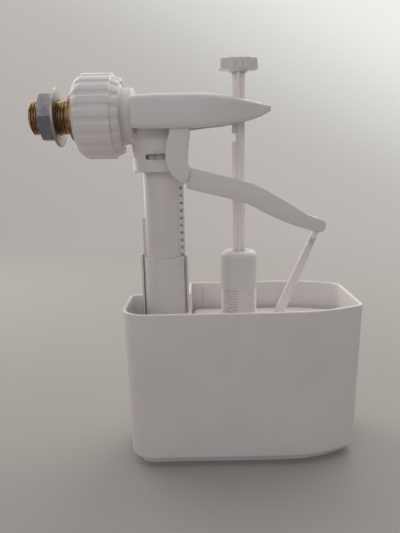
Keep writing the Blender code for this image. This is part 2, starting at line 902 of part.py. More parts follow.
def guard_plan(trim):
    middle = spindle_y
    shares = ((0.0, 1.0), (0.25, 0.97), (0.5, 0.84), (0.75, 0.58), (0.9, 0.34), (1.0, 0.16))
    start = guard_left - mm if trim > 0 else guard_left
    front = [(start, guard_front + trim)]
    back = [(start, guard_back - trim)]
    for share, width in shares:
        x = guard_straight_to + share * (guard_tip - 3.2 * trim - guard_straight_to)
        front.append((x, middle + (guard_front + trim - middle) * width))
        back.append((x, middle + (guard_back - trim - middle) * width))
    return front + list(reversed(back))


side = prism_mesh(guard_side(guard_half, 0.0, 0.0), guard_front - mm, guard_back + mm, "Y")
side.transform(Matrix.Translation((0, 0, inlet_z)))
guard = place("head_guard", side, white)
plan = prism_mesh(guard_plan(0.0), inlet_z - 12 * mm, inlet_z + 12 * mm)
carve(guard, plan, "plan", "INTERSECT")
inner = prism_mesh(guard_side(guard_half, guard_wall, guard_open_below), guard_front, guard_back, "Y")
inner.transform(Matrix.Translation((0, 0, inlet_z)))
inner_plan = prism_mesh(guard_plan(guard_wall), inlet_z - 14 * mm, inlet_z + 14 * mm)
hollow = carve(guard, inner, "hollow")
carve(hollow, inner_plan, "plan", "INTERSECT")
rod_half = rod_w / 2
eye_bore = rod_half + slide_gap
eye_r = eye_bore + 1.3 * mm
spindle_at = (spindle_x, spindle_y, 0)
fuse(guard, rod_mesh("Z", eye_r, eye_r, inlet_z - 3.6 * mm, inlet_z + 5.0 * mm, spindle_at, 28), "eye")
carve(guard, rod_mesh("Z", eye_bore, eye_bore, inlet_z - 12 * mm, inlet_z + 12 * mm, spindle_at, 28), "eye_bore")

# Lever: a bell crank; its arm is a channel open at the back
arm_line = (
    (14.0, 63.6, 10.0),
    (23.6, 61.1, 10.0),
    (32.5, 58.9, 10.0),
    (41.2, 56.5, 10.1),
    (47.8, 53.8, 10.2),
    (53.1, 50.8, 10.0),
    (59.1, 47.6, 9.6),
    (65.1, 44.4, 8.6),
    (71.1, 41.6, 7.2),
)


def arm_shape(trim, last):
    # Both edges of the arm stand off its centre line by half its width.
    line = [Vector((x * mm, z * mm, w * mm)) for x, z, w in arm_line]
    line.append(Vector((tip_x, tip_above_rim, 2 * tip_r)))
    line = smooth_line([tuple(p) for p in line], 2)
    top = []
    low = []
    for k, spot in enumerate(line):
        ahead = line[min(k + 1, len(line) - 1)] - line[max(k - 1, 0)]
        side_way = Vector((-ahead.y, ahead.x)).normalized()
        half = spot.z / 2 - trim
        top.append((spot.x + side_way.x * half, spot.y + side_way.y * half))
        low.append((spot.x - side_way.x * half, spot.y - side_way.y * half))
    if last:
        end = line[-1]
        start = math.atan2(low[-1][1] - end.y, low[-1][0] - end.x)
        for k in range(1, 8):
            a = start + math.pi * k / 8
            r = end.z / 2 - trim
            low.append((end.x + r * math.cos(a), end.y + r * math.sin(a)))
    return [(x, rim_z + z) for x, z in low + list(reversed(top))]


pivot = (pivot_x, 0, pivot_z)
arm = place("lever", prism_mesh(arm_shape(0.0, True), arm_front, arm_back, "Y"), white, pivot)
carve(arm, prism_mesh(arm_shape(arm_edge, True), arm_front + arm_web, arm_back + mm, "Y"), "channel")
lug_line = [
    (13.4, 61.2),
    (15.6, 68.2),
    (13.6, 71.5),
    (14.3, 77.1),
    (15.2, 86.7),
    (12.0, 93.0),
    (8.2, 98.4),
    (1.2, 98.4),
    (1.4, 93.0),
    (5.4, 86.5),
    (3.8, 80.0),
    (3.3, 74.8),
    (3.6, 70.1),
    (5.3, 66.6),
    (8.4, 63.0),
    (11.4, 60.9),
]
lug_points = [(x * mm, rim_z + z * mm) for x, z in reversed(lug_line)]
fuse(arm, prism_mesh(lug_points, lug_front, lug_back, "Y"), "lug")
hub_r = lever_pin_r + slide_gap + 1.7 * mm
hub_y0 = front_ear[1] + pivot_gap
hub_y1 = rear_ear[0] - pivot_gap
bar_low = pivot_z + ear_r + 0.5 * mm
bar_top = up(98.4 * mm)
fuse(arm, box_mesh(1.2 * mm, 8.2 * mm, lug_back - mm, hub_y1, bar_low, bar_top), "crossbar")
fuse(arm, rod_mesh("Y", hub_r, hub_r, hub_y0, hub_y1, (pivot_x, 0, pivot_z), 20), "hub")
fuse(
    arm,
    box_mesh(pivot_x - 2.3 * mm, pivot_x + hub_r - 0.3 * mm, hub_y0, hub_y1, pivot_z, bar_low + mm),
    "hub_web",
)
pad_x0 = jet_x1 + 1.1 * mm
nose_x0 = pad_x0 + pad_t + touch_gap
fuse(
    arm,
    box_mesh(nose_x0, 3.0 * mm, -2.6 * mm, 2.6 * mm, inlet_z - 2.6 * mm, inlet_z + 2.6 * mm),
    "nose",
)
lever_bore = lever_pin_r + slide_gap
carve(
    arm,
    rod_mesh("Y", lever_bore, lever_bore, hub_y0 - mm, hub_y1 + mm, (pivot_x, 0, pivot_z), 16),
    "pivot_bore",
)
# The channel's lower edge is open at the tip for the link, which hangs from a moulded stub
tip_z = up(tip_above_rim)
opening = box_mesh(
    tip_x - 14 * mm, tip_x + 2.6 * mm, arm_front + arm_web, arm_back + mm, tip_z - 12 * mm, tip_z - 0.5 * mm
)
carve(arm, opening, "link_opening")
link_eye_r = link_pin_r + pivot_gap + 1.1 * mm
eye_room = max(link_eye_r, tip_r) + 0.4 * mm
carve(
    arm,
    rod_mesh("Y", eye_room, eye_room, arm_front + arm_web, arm_back + mm, (tip_x, 0, tip_z), 20),
    "eye_room",
)
fuse(
    arm,
    rod_mesh("Y", link_pin_r, link_pin_r, arm_front + mm, arm_back, (tip_x, 0, tip_z), 14),
    "link_stub",
)
place(
    "pilot_pad",
    rod_mesh("X", pad_r, pad_r, pad_x0, pad_x0 + pad_t, axis_point, 20),
    rubber,
    pivot,
)

# Link from the lever's tip down through the float to the swivel
stub_z = up(-stub_below_rim)
link_y0 = arm_front + arm_web + touch_gap + 0.1 * mm
link_y1 = link_y0 + link_t
lean = Vector((tip_x - spindle_x, tip_z - stub_z))
link_len = lean.length
low_bore = stub_r + open_pivot_gap
low_eye_r = low_bore + 1.5 * mm
strip = [
    (-link_w / 2, 0.0),
    (link_w / 2, 0.0),
    (link_w / 2, link_len * 0.56),
    (link_w_top / 2, link_len * 0.93),
    (link_w_top / 2, link_len),
    (-link_w_top / 2, link_len),
    (-link_w_top / 2, link_len * 0.93),
    (-link_w / 2, link_len * 0.56),
]
slope = Matrix.Rotation(-math.atan2(lean.x, lean.y), 2)


def lay(points):
    # Along the link: from its lower eye towards its upper one.
    spots = [slope @ Vector(p) for p in points]
    return [(spindle_x + p.x, stub_z + p.y) for p in spots]


link = place("link", prism_mesh(lay(strip), link_y0, link_y1, "Y"), clear_white, (tip_x, 0, tip_z))
fuse(link, rod_mesh("Y", link_eye_r, link_eye_r, link_y0, link_y1, (tip_x, 0, tip_z), 20), "top_eye")
fuse(link, rod_mesh("Y", low_eye_r, low_eye_r, link_y0, link_y1, (spindle_x, 0, stub_z), 24), "low_eye")
flute = [
    (-link_w / 2 + mm, 9.0 * mm),
    (link_w / 2 - mm, 9.0 * mm),
    (link_w / 2 - mm, link_len * 0.56),
    (link_w_top / 2 - mm, link_len * 0.9),
    (-link_w_top / 2 + mm, link_len * 0.9),
    (-link_w / 2 + mm, link_len * 0.56),
]
carve(link, prism_mesh(lay(flute), link_y0 - mm, link_y0 + 0.9 * mm, "Y"), "flute")
top_bore = link_pin_r + pivot_gap
carve(link, rod_mesh("Y", top_bore, top_bore, link_y0 - mm, link_y1 + mm, (tip_x, 0, tip_z), 14), "top_bore")
carve(link, rod_mesh("Y", low_bore, low_bore, link_y0 - mm, link_y1 + mm, (spindle_x, 0, stub_z), 16), "low_bore")

# Swivel at the spindle's foot, with the stub that the link turns on
swivel_half = 4.5 * mm
journal_r = 2.4 * mm
swivel_bore = journal_r + slide_gap
swivel_r = swivel_bore + 2.0 * mm
swivel_at = (spindle_x, spindle_y, 0)
swivel = place(
    "swivel_block",
    rod_mesh("Z", swivel_r, swivel_r, stub_z - swivel_half, stub_z + swivel_half, swivel_at, 28),
    white,
    (spindle_x, spindle_y, stub_z),
)
cheek_y = link_y1 + touch_gap
fuse(
    swivel,
    box_mesh(
        spindle_x - 3 * mm, spindle_x + 3 * mm, cheek_y, spindle_y, stub_z - swivel_half, stub_z + swivel_half
    ),
    "cheek",
)
fuse(swivel, rod_mesh("Y", stub_r, stub_r, link_y0 - 0.5 * mm, cheek_y + mm, (spindle_x, 0, stub_z), 16), "stub")
carve(
    swivel,
    rod_mesh("Z", swivel_bore, swivel_bore, stub_z - 8 * mm, stub_z + 8 * mm, swivel_at, 20),
    "bore",
)

# Spindle: cross-shaped rod, knob and ringed cylinder, which turn together
rod_low = stub_z + swivel_half + touch_gap
knob_top = up(knob_top_above_rim)
knob_low = knob_top - knob_t
rod_top = knob_low + 1.6 * mm
spindle_pivot = (spindle_x, spindle_y, stub_z)
rod = place(
    "spindle_rod",
    box_mesh(
        spindle_x - rod_half, spindle_x + rod_half, spindle_y - rod_web / 2, spindle_y + rod_web / 2, rod_low, rod_top
    ),
    clear_white,
    spindle_pivot,
)
fuse(
    rod,
    box_mesh(
        spindle_x - rod_web / 2, spindle_x + rod_web / 2, spindle_y - rod_half, spindle_y + rod_half, rod_low, rod_top
    ),
    "cross",
)
journal_low = stub_z - swivel_half - 2.2 * mm
fuse(rod, rod_mesh("Z", journal_r, journal_r, journal_low, rod_low + 2 * mm, swivel_at, 20), "journal")
notch = box_mesh(
    spindle_x - rod_half - mm,
    spindle_x - rod_half + 1.9 * mm,
    spindle_y - rod_web,
    spindle_y + rod_web,
    up(80.7 * mm),
    up(84.7 * mm),
)
carve(rod, notch, "notch")
place_clip = turned(
    "swivel_clip",
    [
        (swivel_r - 0.6 * mm, stub_z - swivel_half - touch_gap),
        (swivel_r - 0.6 * mm, stub_z - swivel_half - touch_gap - 1.4 * mm),
        (journal_r + touch_gap, stub_z - swivel_half - touch_gap - 1.4 * mm),
        (journal_r + touch_gap, stub_z - swivel_half - touch_gap),
    ],
    "Z",
    swivel_at,
    white,
    24,
)
cylinder_top = up(cylinder_top_above_rim)
cylinder_end = up(-cylinder_below_rim)
cylinder = turned(
    "guide_cylinder",
    [
        (rod_half + touch_gap, cylinder_top),
        (cylinder_r - 2.2 * mm, cylinder_top),
        (cylinder_r - 0.7 * mm, cylinder_top - 0.7 * mm),
        (cylinder_r, cylinder_top - 2.4 * mm),
        (cylinder_r, cylinder_end),
        (cylinder_r - cylinder_wall, cylinder_end),
        (cylinder_r - cylinder_wall, cylinder_top - 2.6 * mm),
        (rod_half + touch_gap, cylinder_top - 2.6 * mm),
    ],
    "Z",
    swivel_at,
    white,
)
knob_mesh = prism_mesh(scallops(knob_grips, knob_r, knob_r - 0.7 * mm), knob_low, knob_top)
knob_mesh.transform(Matrix.Translation(swivel_at))
knob = place("spindle_knob", knob_mesh, white, (spindle_x, spindle_y, knob_low))
flare = rod_mesh("Z", rod_half + 1.3 * mm, rod_half + 3.2 * mm, knob_low - 2.6 * mm, knob_low + 0.5 * mm, swivel_at, 28)
fuse(knob, flare, "flare")
knob_bore = rod_half + touch_gap
carve(
    knob,
    rod_mesh("Z", knob_bore, knob_bore, knob_low - 5 * mm, rod_top + touch_gap, swivel_at, 28),
    "bore",
)

# Float: a shell open below, with a keyhole well for the spindle and the link
float_z1 = up(-float_below_rim)
float_z0 = float_z1 - float_h
float_side = chamber_wall + draft * (rim_z - float_z0) / chamber_h + float_gap
float_line = [
    (step_x + chamber_wall + float_gap, chamber_front + float_side, 4.0 * mm),
    (chamber_right - end_sweep_front_len, chamber_front + float_side, 60.0 * mm),
    (chamber_right - float_side, chamber_front + end_sweep_front + float_side, 5.0 * mm),
    (chamber_right - float_side, chamber_back - end_sweep_back - float_side, 5.0 * mm),
    (chamber_right - end_sweep_back_len, chamber_back - back_rib_d - float_side, 40.0 * mm),
    (step_x + chamber_wall + float_gap, chamber_back - back_rib_d - float_side, 4.0 * mm),
]
floater = place(
    "float", prism_mesh(rounded(float_line), float_z0, float_z1), clear_white, (spindle_x, spindle_y, float_z1)
)
air = prism_mesh(rounded(inset(float_line, float_wall)), float_z0 - mm, float_z1 - float_top)
carve(floater, air, "air")
ring_bore = cylinder_r + slide_gap
ring_r = ring_bore + collar_ring_wall
well_r = ring_r + touch_gap
slot_y0 = link_y0 - well_gap
slot_y1 = link_y1 + well_gap
slot_end = spindle_x + 32.0 * mm


def keyhole(more):
    r = well_r + more
    low = slot_y0 - more - spindle_y
    high = slot_y1 + more - spindle_y
    a0 = math.asin(max(-1.0, low / r))
    a1 = math.asin(high / r)
    steps = 26
    points = [(slot_end + more, slot_y0 - more), (slot_end + more, slot_y1 + more)]
    for k in range(steps + 1):
        a = a1 + (2 * math.pi + a0 - a1) * k / steps
        points.append((spindle_x + r * math.cos(a), spindle_y + r * math.sin(a)))
    return points


fuse(floater, prism_mesh(keyhole(float_wall), float_z0, float_z1 - float_top / 2), "well")
carve(floater, prism_mesh(keyhole(0.0), float_z0 - mm, float_z1 + mm), "well_hole")

# Collar that snaps into the float's well and grips the cylinder's rings
collar = turned(
    "level_collar",
    [
        (ring_r + 1.4 * mm, float_z1 + touch_gap + mm),
        (ring_r + 1.4 * mm, float_z1 + touch_gap),
        (ring_r, float_z1 + touch_gap),
        (ring_r, float_z1 - collar_ring_h),
        (ring_bore, float_z1 - collar_ring_h),
        (ring_bore, float_z1 + touch_gap + mm),
    ],
    "Z",
    swivel_at,
    white,
)

for obj in parts.objects:
    if obj.type == "MESH":
        obj.data.shade_smooth()
        obj.data.set_sharp_from_angle(angle=math.radians(35))
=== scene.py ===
# %% [markdown]
# # A toilet fill valve
#
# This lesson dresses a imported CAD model: a side-entry fill valve whose float
# works inside an open chamber. The CAD model gives every piece its place and
# its motion. Here each visible piece gets its finer shape and its material:
# moulded white plastic, natural plastic, turned brass and plated steel.

import math

import bmesh
import bpy
from mathutils import Matrix, Vector


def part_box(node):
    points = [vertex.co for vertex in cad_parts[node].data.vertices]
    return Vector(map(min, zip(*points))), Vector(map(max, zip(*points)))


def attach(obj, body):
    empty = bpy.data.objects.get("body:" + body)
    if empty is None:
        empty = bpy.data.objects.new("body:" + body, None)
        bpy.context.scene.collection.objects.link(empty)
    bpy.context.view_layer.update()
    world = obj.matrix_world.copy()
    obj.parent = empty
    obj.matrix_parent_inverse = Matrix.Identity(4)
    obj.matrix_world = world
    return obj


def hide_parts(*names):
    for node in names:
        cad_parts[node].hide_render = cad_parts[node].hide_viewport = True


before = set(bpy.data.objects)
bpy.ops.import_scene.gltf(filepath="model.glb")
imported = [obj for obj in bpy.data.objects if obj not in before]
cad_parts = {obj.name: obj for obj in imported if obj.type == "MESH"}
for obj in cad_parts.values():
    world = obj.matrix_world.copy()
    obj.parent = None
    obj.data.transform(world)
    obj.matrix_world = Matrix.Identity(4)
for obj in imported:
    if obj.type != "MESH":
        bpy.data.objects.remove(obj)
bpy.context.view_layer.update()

# %% [markdown]
# ## One ruler for everything
#
# The whole valve hangs on the riser tube, so all sizes below are millimetres
# measured from the riser's axis and from the floor. One matrix turns such a
# point into the metres of the frame. The axis stands 18 mm left of the
# frame's middle and 3 mm behind it.

# %% Millimetres from the riser's axis
MM = 0.001
RISER_X, RISER_Y = -18.0, 3.0
TO_FRAME = Matrix.Scale(MM, 4) @ Matrix.Translation((RISER_X, RISER_Y, 0.0))
RIM_Z = 82.8
INLET_Z = 177.3


def spot(x, y, z):
    return TO_FRAME @ Vector((x, y, z))


print("the riser's foot stands at", tuple(spot(0, 0, 0)))

# %% [markdown]
# ## The camera
#
# The photograph was taken from the front at about arm's length of a small
# object: a quarter of a metre away, a little above the chamber's rim, looking
# 12 degrees down. The camera leans about one degree, which makes level edges
# rise a little to the right. A lens of 32.7 mm on a 36 mm long side gives the
# photograph's perspective.

# %% Camera
eye = spot(18.8, -256.5, 153.6)
forward = Vector((0.0, 0.9778, -0.2095)).normalized()
right = Vector((1.0, -0.0041, -0.0192)).normalized()
up = right.cross(forward).normalized()
right = forward.cross(up).normalized()

lens = bpy.data.cameras.new("camera")
lens.lens = 32.69
lens.sensor_width = 36.0
lens.clip_start = 0.01
lens.clip_end = 20.0
camera = bpy.data.objects.new("camera", lens)
turn = Matrix((right, up, -forward)).transposed().to_4x4()
camera.matrix_world = Matrix.Translation(eye) @ turn
bpy.context.scene.collection.objects.link(camera)
bpy.context.scene.camera = camera
print("camera at", tuple(round(v, 4) for v in camera.location))

# %% [markdown]
# ## Small tools for materials
#
# Every colour below is written as the hex value that a paint program shows.
# Blender works in linear light, so one function turns the first into the
# second. Another adds one node, sets its values and makes its links, whatever
# kind of node it is. The last two start an empty material and set the stops
# of a colour ramp.

# %% Colour and node helpers
def colour(hex_value):
    parts = [int(hex_value[k : k + 2], 16) / 255 for k in (1, 3, 5)]
    line = [c / 12.92 if c <= 0.04045 else ((c + 0.055) / 1.055) ** 2.4 for c in parts]
    return (*line, 1.0)


def add(tree, kind, settings=None, values=None, links=None):
    # settings are the node's own, values set its sockets, links feed sockets from others
    node = tree.nodes.new(kind)
    for key, value in (settings or {}).items():
        setattr(node, key, value)
    for key, value in (values or {}).items():
        node.inputs[key].default_value = value
    for key, source in (links or {}).items():
        tree.links.new(source, node.inputs[key])
    return node


def new_material(name):
    mat = bpy.data.materials.new(name)
    mat.use_nodes = True
    mat.node_tree.nodes.clear()
    return mat, mat.node_tree


def steps(node, stops):
    # places the stops of a colour ramp: (position, colour)
    ramp = node.color_ramp
    while len(ramp.elements) < len(stops):
        ramp.elements.new(0.5)
    for element, (position, value) in zip(ramp.elements, stops):
        element.position = position
        element.color = value
    return node


print("white plastic as linear light:", [round(c, 3) for c in colour("#e6e2df")])

# %% [markdown]
# ## White moulded plastic
#
# The chamber, the riser, the guard and the caps are injection moulded in
# white acetal or ABS. The mould leaves a satin skin: very fine grain that
# blurs reflections, long soft waves where the melt flowed, and hairline scuffs
# from handling. Thin walls let a little light through, which the shader's
# subsurface gives. The real grain is about 0.05 mm, too fine for the picture,
# so it is drawn at 0.4 mm.

# %% Patterns that a mould leaves
def mould_marks(tree):
    # long waves from the melt's flow, the mould's fine grain, and scuffs from handling
    place = add(tree, "ShaderNodeTexCoord").outputs["Object"]
    waves = add(
        tree,
        "ShaderNodeTexNoise",
        values={"Scale": 1 / (40 * MM), "Detail": 2.0, "Roughness": 0.5, "Distortion": 0.4},
        links={"Vector": place},
    )
    grain = add(
        tree,
        "ShaderNodeTexNoise",
        values={"Scale": 1 / (0.4 * MM), "Detail": 2.0, "Roughness": 0.6},
        links={"Vector": place},
    )
    stretch = add(
        tree,
        "ShaderNodeMapping",
        values={"Scale": (1.0, 1.0, 14.0), "Rotation": (0.35, 0.5, 0.0)},
        links={"Vector": place},
    )
    scuff = add(
        tree,
        "ShaderNodeTexNoise",
        values={"Scale": 1 / (6 * MM), "Detail": 5.0, "Roughness": 0.75},
        links={"Vector": stretch.outputs["Vector"]},
    )
    return waves.outputs["Fac"], grain.outputs["Fac"], scuff.outputs["Fac"]


print("waves of 40 mm, grain of 0.4 mm, scuffs of 6 mm")

# %% White plastic material
def moulded_plastic(name, base, shade, glow, depth, rough):
    mat, tree = new_material(name)
    waves, grain, scuff = mould_marks(tree)
    tint = steps(
        add(tree, "ShaderNodeValToRGB", links={"Fac": waves}),
        [(0.32, colour(shade)), (0.62, colour(base))],
    )
    marks = steps(
        add(tree, "ShaderNodeValToRGB", links={"Fac": scuff}),
        [(0.60, (0, 0, 0, 1)), (0.70, (1, 1, 1, 1))],
    )
    gloss = add(
        tree,
        "ShaderNodeMapRange",
        values={"To Min": rough - 0.06, "To Max": rough + 0.10},
        links={"Value": waves},
    )
    dull = add(
        tree,
        "ShaderNodeMath",
        {"operation": "MULTIPLY_ADD"},
        {1: 0.12},
        {0: marks.outputs["Color"], 2: gloss.outputs["Result"]},
    )
    bump = add(
        tree,
        "ShaderNodeBump",
        values={"Strength": 0.10, "Distance": 0.05 * MM},
        links={"Height": grain},
    )
    sink = add(
        tree,
        "ShaderNodeBump",
        values={"Strength": 0.25, "Distance": 0.5 * MM},
        links={"Height": waves, "Normal": bump.outputs["Normal"]},
    )
    shader = add(
        tree,
        "ShaderNodeBsdfPrincipled",
        values={
            "IOR": 1.48,
            "Subsurface Weight": glow,
            "Subsurface Radius": (1.0, 0.95, 0.92),
            "Subsurface Scale": depth * MM,
        },
        links={
            "Base Color": tint.outputs["Color"],
            "Roughness": dull.outputs["Value"],
            "Normal": sink.outputs["Normal"],
        },
    )
    add(tree, "ShaderNodeOutputMaterial", links={"Surface": shader.outputs["BSDF"]})
    return mat


white_plastic = moulded_plastic("white_acetal_satin", "#e8e5e3", "#e3dfdd", 0.15, 0.7, 0.36)
print("made", white_plastic.name)

# %% [markdown]
# ## Natural plastic
#
# The spindle and the link are moulded in natural polypropylene, with no
# pigment. It looks milky: light enters, scatters and comes out some way off.
# The same function makes it, with more subsurface and a slightly glossier
# skin.

# %% Natural plastic material
natural_plastic = moulded_plastic("natural_polypropylene", "#f1edec", "#ebe6e6", 0.8, 2.5, 0.30)
print("made", natural_plastic.name)

# %% [markdown]
# ## One skin for the other finishes
#
# Brass, plated steel and rubber are built alike: one pattern blends a few
# tones, one makes the surface more or less rough, and one raises it a little.
# So a function takes the three patterns and the numbers, and joins them to a
# shader. The metals keep the default IOR.

# %% Tones, roughness and relief from patterns
def skin(tree, tones, stops, dullness, rough, relief, strength, height, values):
    tone = steps(add(tree, "ShaderNodeValToRGB", links={"Fac": tones}), [(at, colour(c)) for at, c in stops])
    matt = add(
        tree,
        "ShaderNodeMapRange",
        values={"To Min": rough[0], "To Max": rough[1]},
        links={"Value": dullness},
    )
    bump = add(
        tree,
        "ShaderNodeBump",
        values={"Strength": strength, "Distance": height * MM},
        links={"Height": relief},
    )
    shader = add(
        tree,
        "ShaderNodeBsdfPrincipled",
        values=values,
        links={
            "Base Color": tone.outputs["Color"],
            "Roughness": matt.outputs["Result"],
            "Normal": bump.outputs["Normal"],
        },
    )
    add(tree, "ShaderNodeOutputMaterial", links={"Surface": shader.outputs["BSDF"]})


METAL = {"Metallic": 1.0}
print("every metal is told only", METAL)

# %% [markdown]
# ## Brass
#
# The threaded tail is turned from brass bar. Fresh cuts on the crests are
# pale gold, while the roots keep cutting oil and oxide and look brown. The
# threads are real geometry further down. Here the colour goes from oxide to
# metal in soft blotches, and a fine streaky noise runs round the part, as a
# lathe leaves it.

# %% Brass material
brass, tree = new_material("turned_brass")
place = add(tree, "ShaderNodeTexCoord").outputs["Object"]
blotch = add(
    tree,
    "ShaderNodeTexNoise",
    values={"Scale": 1 / (3.5 * MM), "Detail": 4.0, "Roughness": 0.6},
    links={"Vector": place},
).outputs["Fac"]
lathe_map = add(tree, "ShaderNodeMapping", values={"Scale": (18.0, 1.0, 1.0)}, links={"Vector": place})
lathe = add(
    tree,
    "ShaderNodeTexNoise",
    values={"Scale": 1 / (2 * MM), "Detail": 3.0, "Roughness": 0.5},
    links={"Vector": lathe_map.outputs["Vector"]},
).outputs["Fac"]
oxide = [(0.30, "#654f3b"), (0.50, "#957a58"), (0.72, "#bda47f")]
skin(tree, blotch, oxide, blotch, (0.24, 0.44), lathe, 0.15, 0.03, METAL)
print("made", brass.name)

# %% [markdown]
# ## Plated steel
#
# The hexagon backnut is steel with bright zinc plating, which gives a cool
# blue-grey with a faint crystal pattern. The washer is pressed from sheet
# and looks lighter and flatter. One function makes both from their own tones
# and roughness.

# %% Plated steel materials
def plated_steel(name, low, high, rough, crystal):
    mat, tree = new_material(name)
    place = add(tree, "ShaderNodeTexCoord").outputs["Object"]
    spangle = add(tree, "ShaderNodeTexVoronoi", values={"Scale": 1 / (crystal * MM)}, links={"Vector": place})
    haze = add(
        tree,
        "ShaderNodeTexNoise",
        values={"Scale": 1 / (4 * MM), "Detail": 4.0, "Roughness": 0.6},
        links={"Vector": place},
    ).outputs["Fac"]
    both = {"A": spangle.outputs["Distance"], "B": haze}
    mix = add(tree, "ShaderNodeMix", {"data_type": "FLOAT"}, {"Factor": 0.7}, both).outputs["Result"]
    skin(tree, mix, [(0.30, low), (0.66, high)], haze, rough, mix, 0.12, 0.04, METAL)
    return mat


zinc_steel = plated_steel("zinc_plated_steel", "#77767e", "#96959e", (0.26, 0.42), 1.2)
washer_steel = plated_steel("pressed_washer_steel", "#918d8a", "#aba7a3", (0.34, 0.50), 0.8)
print("made", zinc_steel.name, "and", washer_steel.name)

# %% [markdown]
# ## Rubber
#
# The flap, the diaphragm and the seals are black EPDM rubber, pressed in a
# mould: matt, slightly dusty, with no clear reflection. One noise for the
# dust drives all three.

# %% Rubber material
rubber, tree = new_material("black_epdm_rubber")
place = add(tree, "ShaderNodeTexCoord").outputs["Object"]
dust = add(
    tree,
    "ShaderNodeTexNoise",
    values={"Scale": 1 / (2.5 * MM), "Detail": 5.0, "Roughness": 0.65},
    links={"Vector": place},
).outputs["Fac"]
dusty = [(0.35, "#232325"), (0.70, "#3b3b3d")]
skin(tree, dust, dusty, dust, (0.55, 0.75), dust, 0.3, 0.05, {"IOR": 1.52})
print("made", rubber.name)

# %% [markdown]
# ## Which material stands for which slot
#
# The part's record names six slots, one for each real material. This table
# leads from a slot's name to the material made above, so that a piece only
# has to say its slot.

# %% The record's slots
FINISH = {
    "white_plastic": white_plastic,
    "natural_plastic": natural_plastic,
    "brass": brass,
    "zinc_steel": zinc_steel,
    "washer_steel": washer_steel,
    "rubber": rubber,
}
print("finishes:", ", ".join(FINISH))

# %% [markdown]
# ## Tools for shapes
#
# A moulded part is mostly a flat outline pushed straight, or a profile turned
# round an axis, with every corner slightly rounded so that the melt flows and
# the part leaves its mould. So four tools are enough for most pieces: round
# the corners of a line, push an outline, turn a profile, and cut or join with
# booleans.

# %% Round the corners of a line
def rounded(corners, closed=True, facet=9):
    # corners are (x, y) or (x, y, radius); each radius becomes a true arc, a facet for each so many degrees
    points = []
    count = len(corners)
    for i, corner in enumerate(corners):
        here = Vector(corner[:2])
        r = corner[2] if len(corner) > 2 else 0.0
        if r <= 0 or (not closed and i in (0, count - 1)):
            points.append(here)
            continue
        back = (Vector(corners[i - 1][:2]) - here).normalized()
        ahead = (Vector(corners[(i + 1) % count][:2]) - here).normalized()
        half = back.angle(ahead) / 2
        middle = here + (back + ahead).normalized() * (r / math.sin(half))
        start = here + back * (r / math.tan(half)) - middle
        swing = math.pi - 2 * half
        if back.x * ahead.y - back.y * ahead.x > 0:
            swing = -swing
        arcs = max(3, math.ceil(math.degrees(abs(swing)) / facet - 0.01))
        for k in range(arcs + 1):
            points.append(middle + Matrix.Rotation(swing * k / arcs, 2) @ start)
    return points


def inset(corners, by):
    # the same corners moved inwards; the outline runs anticlockwise
    moved = []
    for i, (x, y, r) in enumerate(corners):
        here = Vector((x, y))
        before = (here - Vector(corners[i - 1][:2])).normalized()
        after = (Vector(corners[(i + 1) % len(corners)][:2]) - here).normalized()
        n1, n2 = Vector((-before.y, before.x)), Vector((-after.y, after.x))
        shift = (n1 + n2) * (by / (1 + n1.dot(n2)))
        outer = before.x * after.y - before.y * after.x > 0
        moved.append((x + shift.x, y + shift.y, max(r - by, 0.4) if outer else r + by))
    return moved


square = [(0, 0, 2), (10, 0, 2), (10, 10, 2), (0, 10, 2)]
print("a 10 mm square with 2 mm corners has", len(rounded(square)), "points")

# %% Turn a bmesh into an object
MERGE = 1e-4


def shape(name, bm, slot_name):
    bmesh.ops.remove_doubles(bm, verts=bm.verts, dist=MERGE)
    bmesh.ops.recalc_face_normals(bm, faces=bm.faces)
    mesh = bpy.data.meshes.new(name)
    bm.to_mesh(mesh)
    bm.free()
    mesh.materials.append(FINISH[slot_name])
    piece = bpy.data.objects.new(name, mesh)
    piece["finish"] = slot_name
    bpy.context.scene.collection.objects.link(piece)
    return piece


print("points closer than", MERGE, "mm become one in a new shape")

# %% Settle modifiers, soften edges
SHARP = 38


def settle(piece):
    # applies what the modifiers do, and shades all but real edges smooth
    bpy.context.view_layer.update()
    shown = piece.evaluated_get(bpy.context.evaluated_depsgraph_get())
    mesh = bpy.data.meshes.new_from_object(shown)
    old = piece.data
    piece.modifiers.clear()
    piece.data = mesh
    bpy.data.meshes.remove(old)
    mesh.shade_smooth()
    mesh.set_sharp_from_angle(angle=math.radians(SHARP))
    return piece


def soften(piece, width):
    bevel = piece.modifiers.new("soft edges", "BEVEL")
    bevel.width = width
    bevel.segments = 3
    bevel.limit_method = "ANGLE"
    bevel.angle_limit = math.radians(35)
    bevel.use_clamp_overlap = True
    return piece


print("edges sharper than", SHARP, "degrees stay hard in the shading")

# %% Cut and join
WELD = 0.002


def work(piece, tools, how):
    # cuts the tools out of a piece, or joins them to it; then it welds the
    # hairline gaps that rounding errors leave
    for tool in tools:
        step = piece.modifiers.new(how, "BOOLEAN")
        step.operation = how
        step.solver = "EXACT"
        step.object = tool
        settle(piece)
        bpy.data.objects.remove(tool, do_unlink=True)
        bm = bmesh.new()
        bm.from_mesh(piece.data)
        bmesh.ops.remove_doubles(bm, verts=bm.verts, dist=WELD)
        bmesh.ops.dissolve_degenerate(bm, dist=WELD, edges=bm.edges)
        bm.to_mesh(piece.data)
        bm.free()


print("points closer than", WELD, "mm become one after a cut")

# %% Push an outline
ALONG = {
    "X": Matrix(((0, 0, 1, 0), (1, 0, 0, 0), (0, 1, 0, 0), (0, 0, 0, 1))),
    "Y": Matrix(((1, 0, 0, 0), (0, 0, -1, 0), (0, 1, 0, 0), (0, 0, 0, 1))),
    "Z": Matrix.Identity(4),
}


